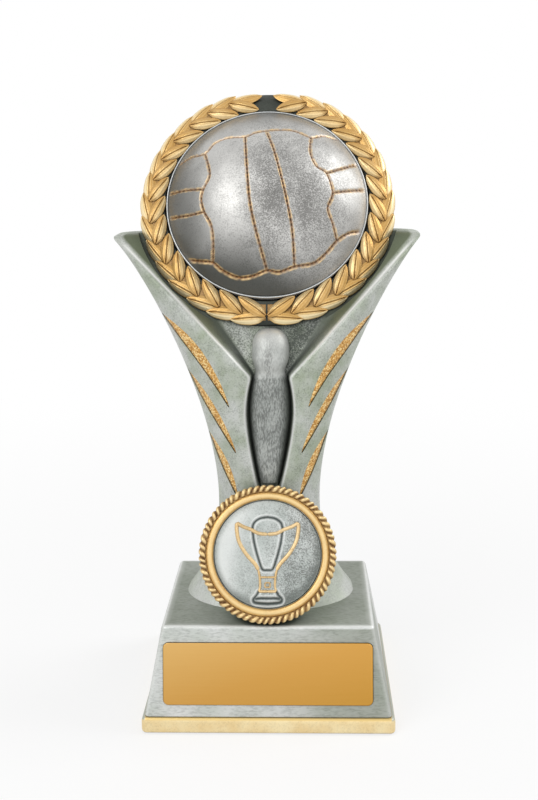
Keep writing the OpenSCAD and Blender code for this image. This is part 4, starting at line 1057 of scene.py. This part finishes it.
# A cap of a sphere on a short rim. Panels swell a little between the seams, which are stitched furrows
# with low worn lips: all are bells of the distance to the nearest seam.
def domeShell():
    turn, share = fullTurn(440), np.linspace(1, 0.004, 170)[:, None]
    domeRadius = wreath["dome"] / 2
    capRadius = domeRadius - ball["lip"]
    sphere = (capRadius ** 2 + ball["height"] ** 2) / (2 * ball["height"])
    x, y = share * np.cos(turn), share * np.sin(turn)
    spots = np.stack([x, y], -1).reshape(-1, 2) * capRadius
    gaps, places = np.moveaxis([pathDistance(spots, smoothPath(np.array(path) * capRadius))
                                for path in ball["seams"]], 1, 0)
    nearest = gaps.argmin(0), np.arange(len(spots))
    gap, along = gaps[nearest].reshape(x.shape), places[nearest].reshape(x.shape)
    inward = rise(1 - share, 0, 0.03)
    furrow = bell(gap, ball["seamWidth"]) * inward
    wear = 0.5 + 0.3 * np.sin(along * 1.7) + 0.2 * np.sin(along * 4.3 + 1)
    lip = bell(gap - ball["lipAt"], ball["lipReach"]) * inward * wear
    stitches = rise(np.cos(2 * np.pi * along / ball["stitch"]), -0.6, 0.3)
    sink = (ball["seamDepth"] * furrow + ball["pillow"] * bell(gap, ball["pillowReach"]) * inward
            - ball["lipHeight"] * lip + ball["stitchDepth"] * furrow * stitches)
    depth = np.sqrt(sphere ** 2 - capRadius ** 2 * (x ** 2 + y ** 2))
    cap = grid(x * capRadius, y * capRadius, depth) * (1 - sink / sphere)[..., None]
    # painted shade: dark at the foot, the left edge, the top and towards the rim, with pits that crowd specks
    # over the middle panels and the right, darker there as painted shade as well
    shade = np.maximum.reduce([0.95 * rise(-y - 0.3 * x, 0.45, 0.95), 0.8 * rise(-x - 0.2 * y, 0.42, 0.9),
                               0.6 * rise(y - 0.1 * x, 0.55, 1.0), 0.6 * rise(share - 0.12 * x, 0.86, 1.0)])
    pits = np.maximum(bell(x - 0.08, 0.3), 0.9 * bell(x - 0.42, 0.35)) * bell(y + 0.1, 0.75)
    inset, level, rubbed = np.transpose(ball["rim"])[..., None]
    deep = bell(gap, ball["deepReach"]) * inward * (0.2 + 0.75 * stitches)
    onCap = {"seam": 0.9 * furrow, "lip": lip, "deep": deep, "shade": shade, "pits": pits, "rim": 0 * x}
    onRim = np.zeros((len(inset), len(turn)))
    traits = {name: np.vstack([onRim + (name == "rim") * rubbed, value]) for name, value in onCap.items()}
    return tube(np.concatenate([onCircles(domeRadius - inset, turn, level),
                                cap + [0, 0, ball["height"] - sphere]]), traits)


addPiece("ballDome", [moved(domeShell(), wreathPlace)], antiqueSilver, "ball_dome", crease=60)

# The fixings and pads keep their shapes and take their own stuffs
fixings = dict(woolFelt=["felt_pad"], foamTape=["nameplate_tape", "disc_pad", "dome_pad"],
               zincPlating=["column_stud", "stud_washer", "stud_nut", "ring_dowels"],
               turnedBrass=["threaded_insert"])
for name, nodes in fixings.items():
    for node in nodes:
        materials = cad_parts[node].data.materials
        materials.clear()
        materials.append(stuff[name])

# Half the floor's side and the shadow's reach in metres, the floor's grey, how much of its shading is
# left under the award, and the light of the world
stage = dict(half=3.0, card=0.92, shadow=0.3, shadowReach=0.35, world=0.55)


# 1 on the rays that the camera, gloss or glass sends out, 0 on the rays that carry light
def seenDirectly(add):
    ray = add("LightPath").outputs
    seen = add("Math", {0: ray["Is Camera Ray"], 1: ray["Is Glossy Ray"]}, operation="MAXIMUM")
    return add("Math", {0: seen, 1: ray["Is Transmission Ray"]}, operation="MAXIMUM")


# The floor is white. Near the award a share of its own shading is left, so that the shadow shows;
# farther off it is plain white like the world behind it, and gloss and glass see it white.
def whiteFloor():
    mesh, size = bpy.data.meshes.new("floor"), stage["half"]
    mesh.from_pydata([(-size, -size, 0), (size, -size, 0), (size, size, 0), (-size, size, 0)], [], [(0, 1, 2, 3)])
    material = bpy.data.materials.new("whiteCard")
    mesh.materials.append(material)
    add, spot = newTree(material)
    far = add("VectorMath", {0: spot}, operation="LENGTH").outputs["Value"]
    fade = add("MapRange", {"Value": far, "From Max": stage["shadowReach"], "To Min": 1 - stage["shadow"],
                            "To Max": 1}, interpolation_type="SMOOTHSTEP")
    glow = add("Math", {0: seenDirectly(add), 1: fade}, operation="MULTIPLY")
    card = add("BsdfDiffuse", {"Color": linear(stage["card"])})
    light = add("Emission", {"Color": linear(1), "Strength": 1})
    add("OutputMaterial", {"Surface": add("MixShader", {0: glow, 1: card, 2: light})})
    addObject("floor", mesh)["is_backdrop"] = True


# The world: white where the camera, gloss or glass sees it, and dimmer as a light
def whiteWorld():
    world = bpy.data.worlds.new("studio")
    bpy.context.scene.world = world
    add, _ = newTree(world)
    level = add("MapRange", {"Value": seenDirectly(add), "To Min": stage["world"], "To Max": 1})
    add("OutputWorld", {"Surface": add("Background", {"Color": linear(1), "Strength": level})})


# Stands an object at a place, with its X, Y and Z along three directions
def stand(item, right, up, back, at):
    item.matrix_world = Matrix(np.vstack([np.column_stack([right, up, back, at]), [0, 0, 0, 1]]).tolist())


# Square soft boxes: places and sizes in metres, power in watts
lamps = {"keyLeft": dict(at=(-0.45, -0.5, 0.6), aim=(0, 0, 0.09), size=0.6, power=2.8),
         "sideRight": dict(at=(0.65, 0.12, 0.6), aim=(0, 0, 0.09), size=0.4, power=2.4),
         "frontFill": dict(at=(0.3, -0.8, 0.2), aim=(0, 0, 0.06), size=0.7, power=1.0)}


def addLamp(name, look):
    lamp = bpy.data.lights.new(name, "AREA")
    lamp.shape, lamp.size, lamp.energy = "SQUARE", look["size"], look["power"]
    back = np.array(look["at"]) - look["aim"]
    back /= np.linalg.norm(back)
    right = np.cross((0, 0, 1), back)
    right /= np.linalg.norm(right)
    stand(addObject(name, lamp), right, np.cross(back, right), back, look["at"])


# The camera stands where it was worked out from the base, the two leaning circles and the arms: its
# place, lens and sensor are in millimetres and its angles in degrees
camera = dict(at=(9.3, -263.3, 137.3), yaw=-1.96, down=13.37, roll=-0.72, lens=50, sensor=36)


def addCamera():
    yaw, down, roll = (math.radians(camera[name]) for name in ("yaw", "down", "roll"))
    ahead = np.array([math.sin(yaw) * math.cos(down), math.cos(yaw) * math.cos(down), -math.sin(down)])
    right = np.array([math.cos(yaw), -math.sin(yaw), 0])
    up = np.cross(right, ahead)
    right, up = right * math.cos(roll) + up * math.sin(roll), up * math.cos(roll) - right * math.sin(roll)
    data = bpy.data.cameras.new("photoCamera")
    data.lens, data.sensor_fit, data.sensor_height = camera["lens"], "VERTICAL", camera["sensor"]
    item = addObject("photoCamera", data)
    stand(item, right, up, -ahead, np.array(camera["at"]) * mm)
    bpy.context.scene.camera = item


whiteFloor()
whiteWorld()
for name, look in lamps.items():
    addLamp(name, look)
addCamera()
bpy.context.scene.view_settings.view_transform = "Standard"
print("stage, lamps and camera ready")

plain = lambda box: [list(map(float, corner)) for corner in box]
{"cad": plain(cadBox), "visual": plain(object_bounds())}
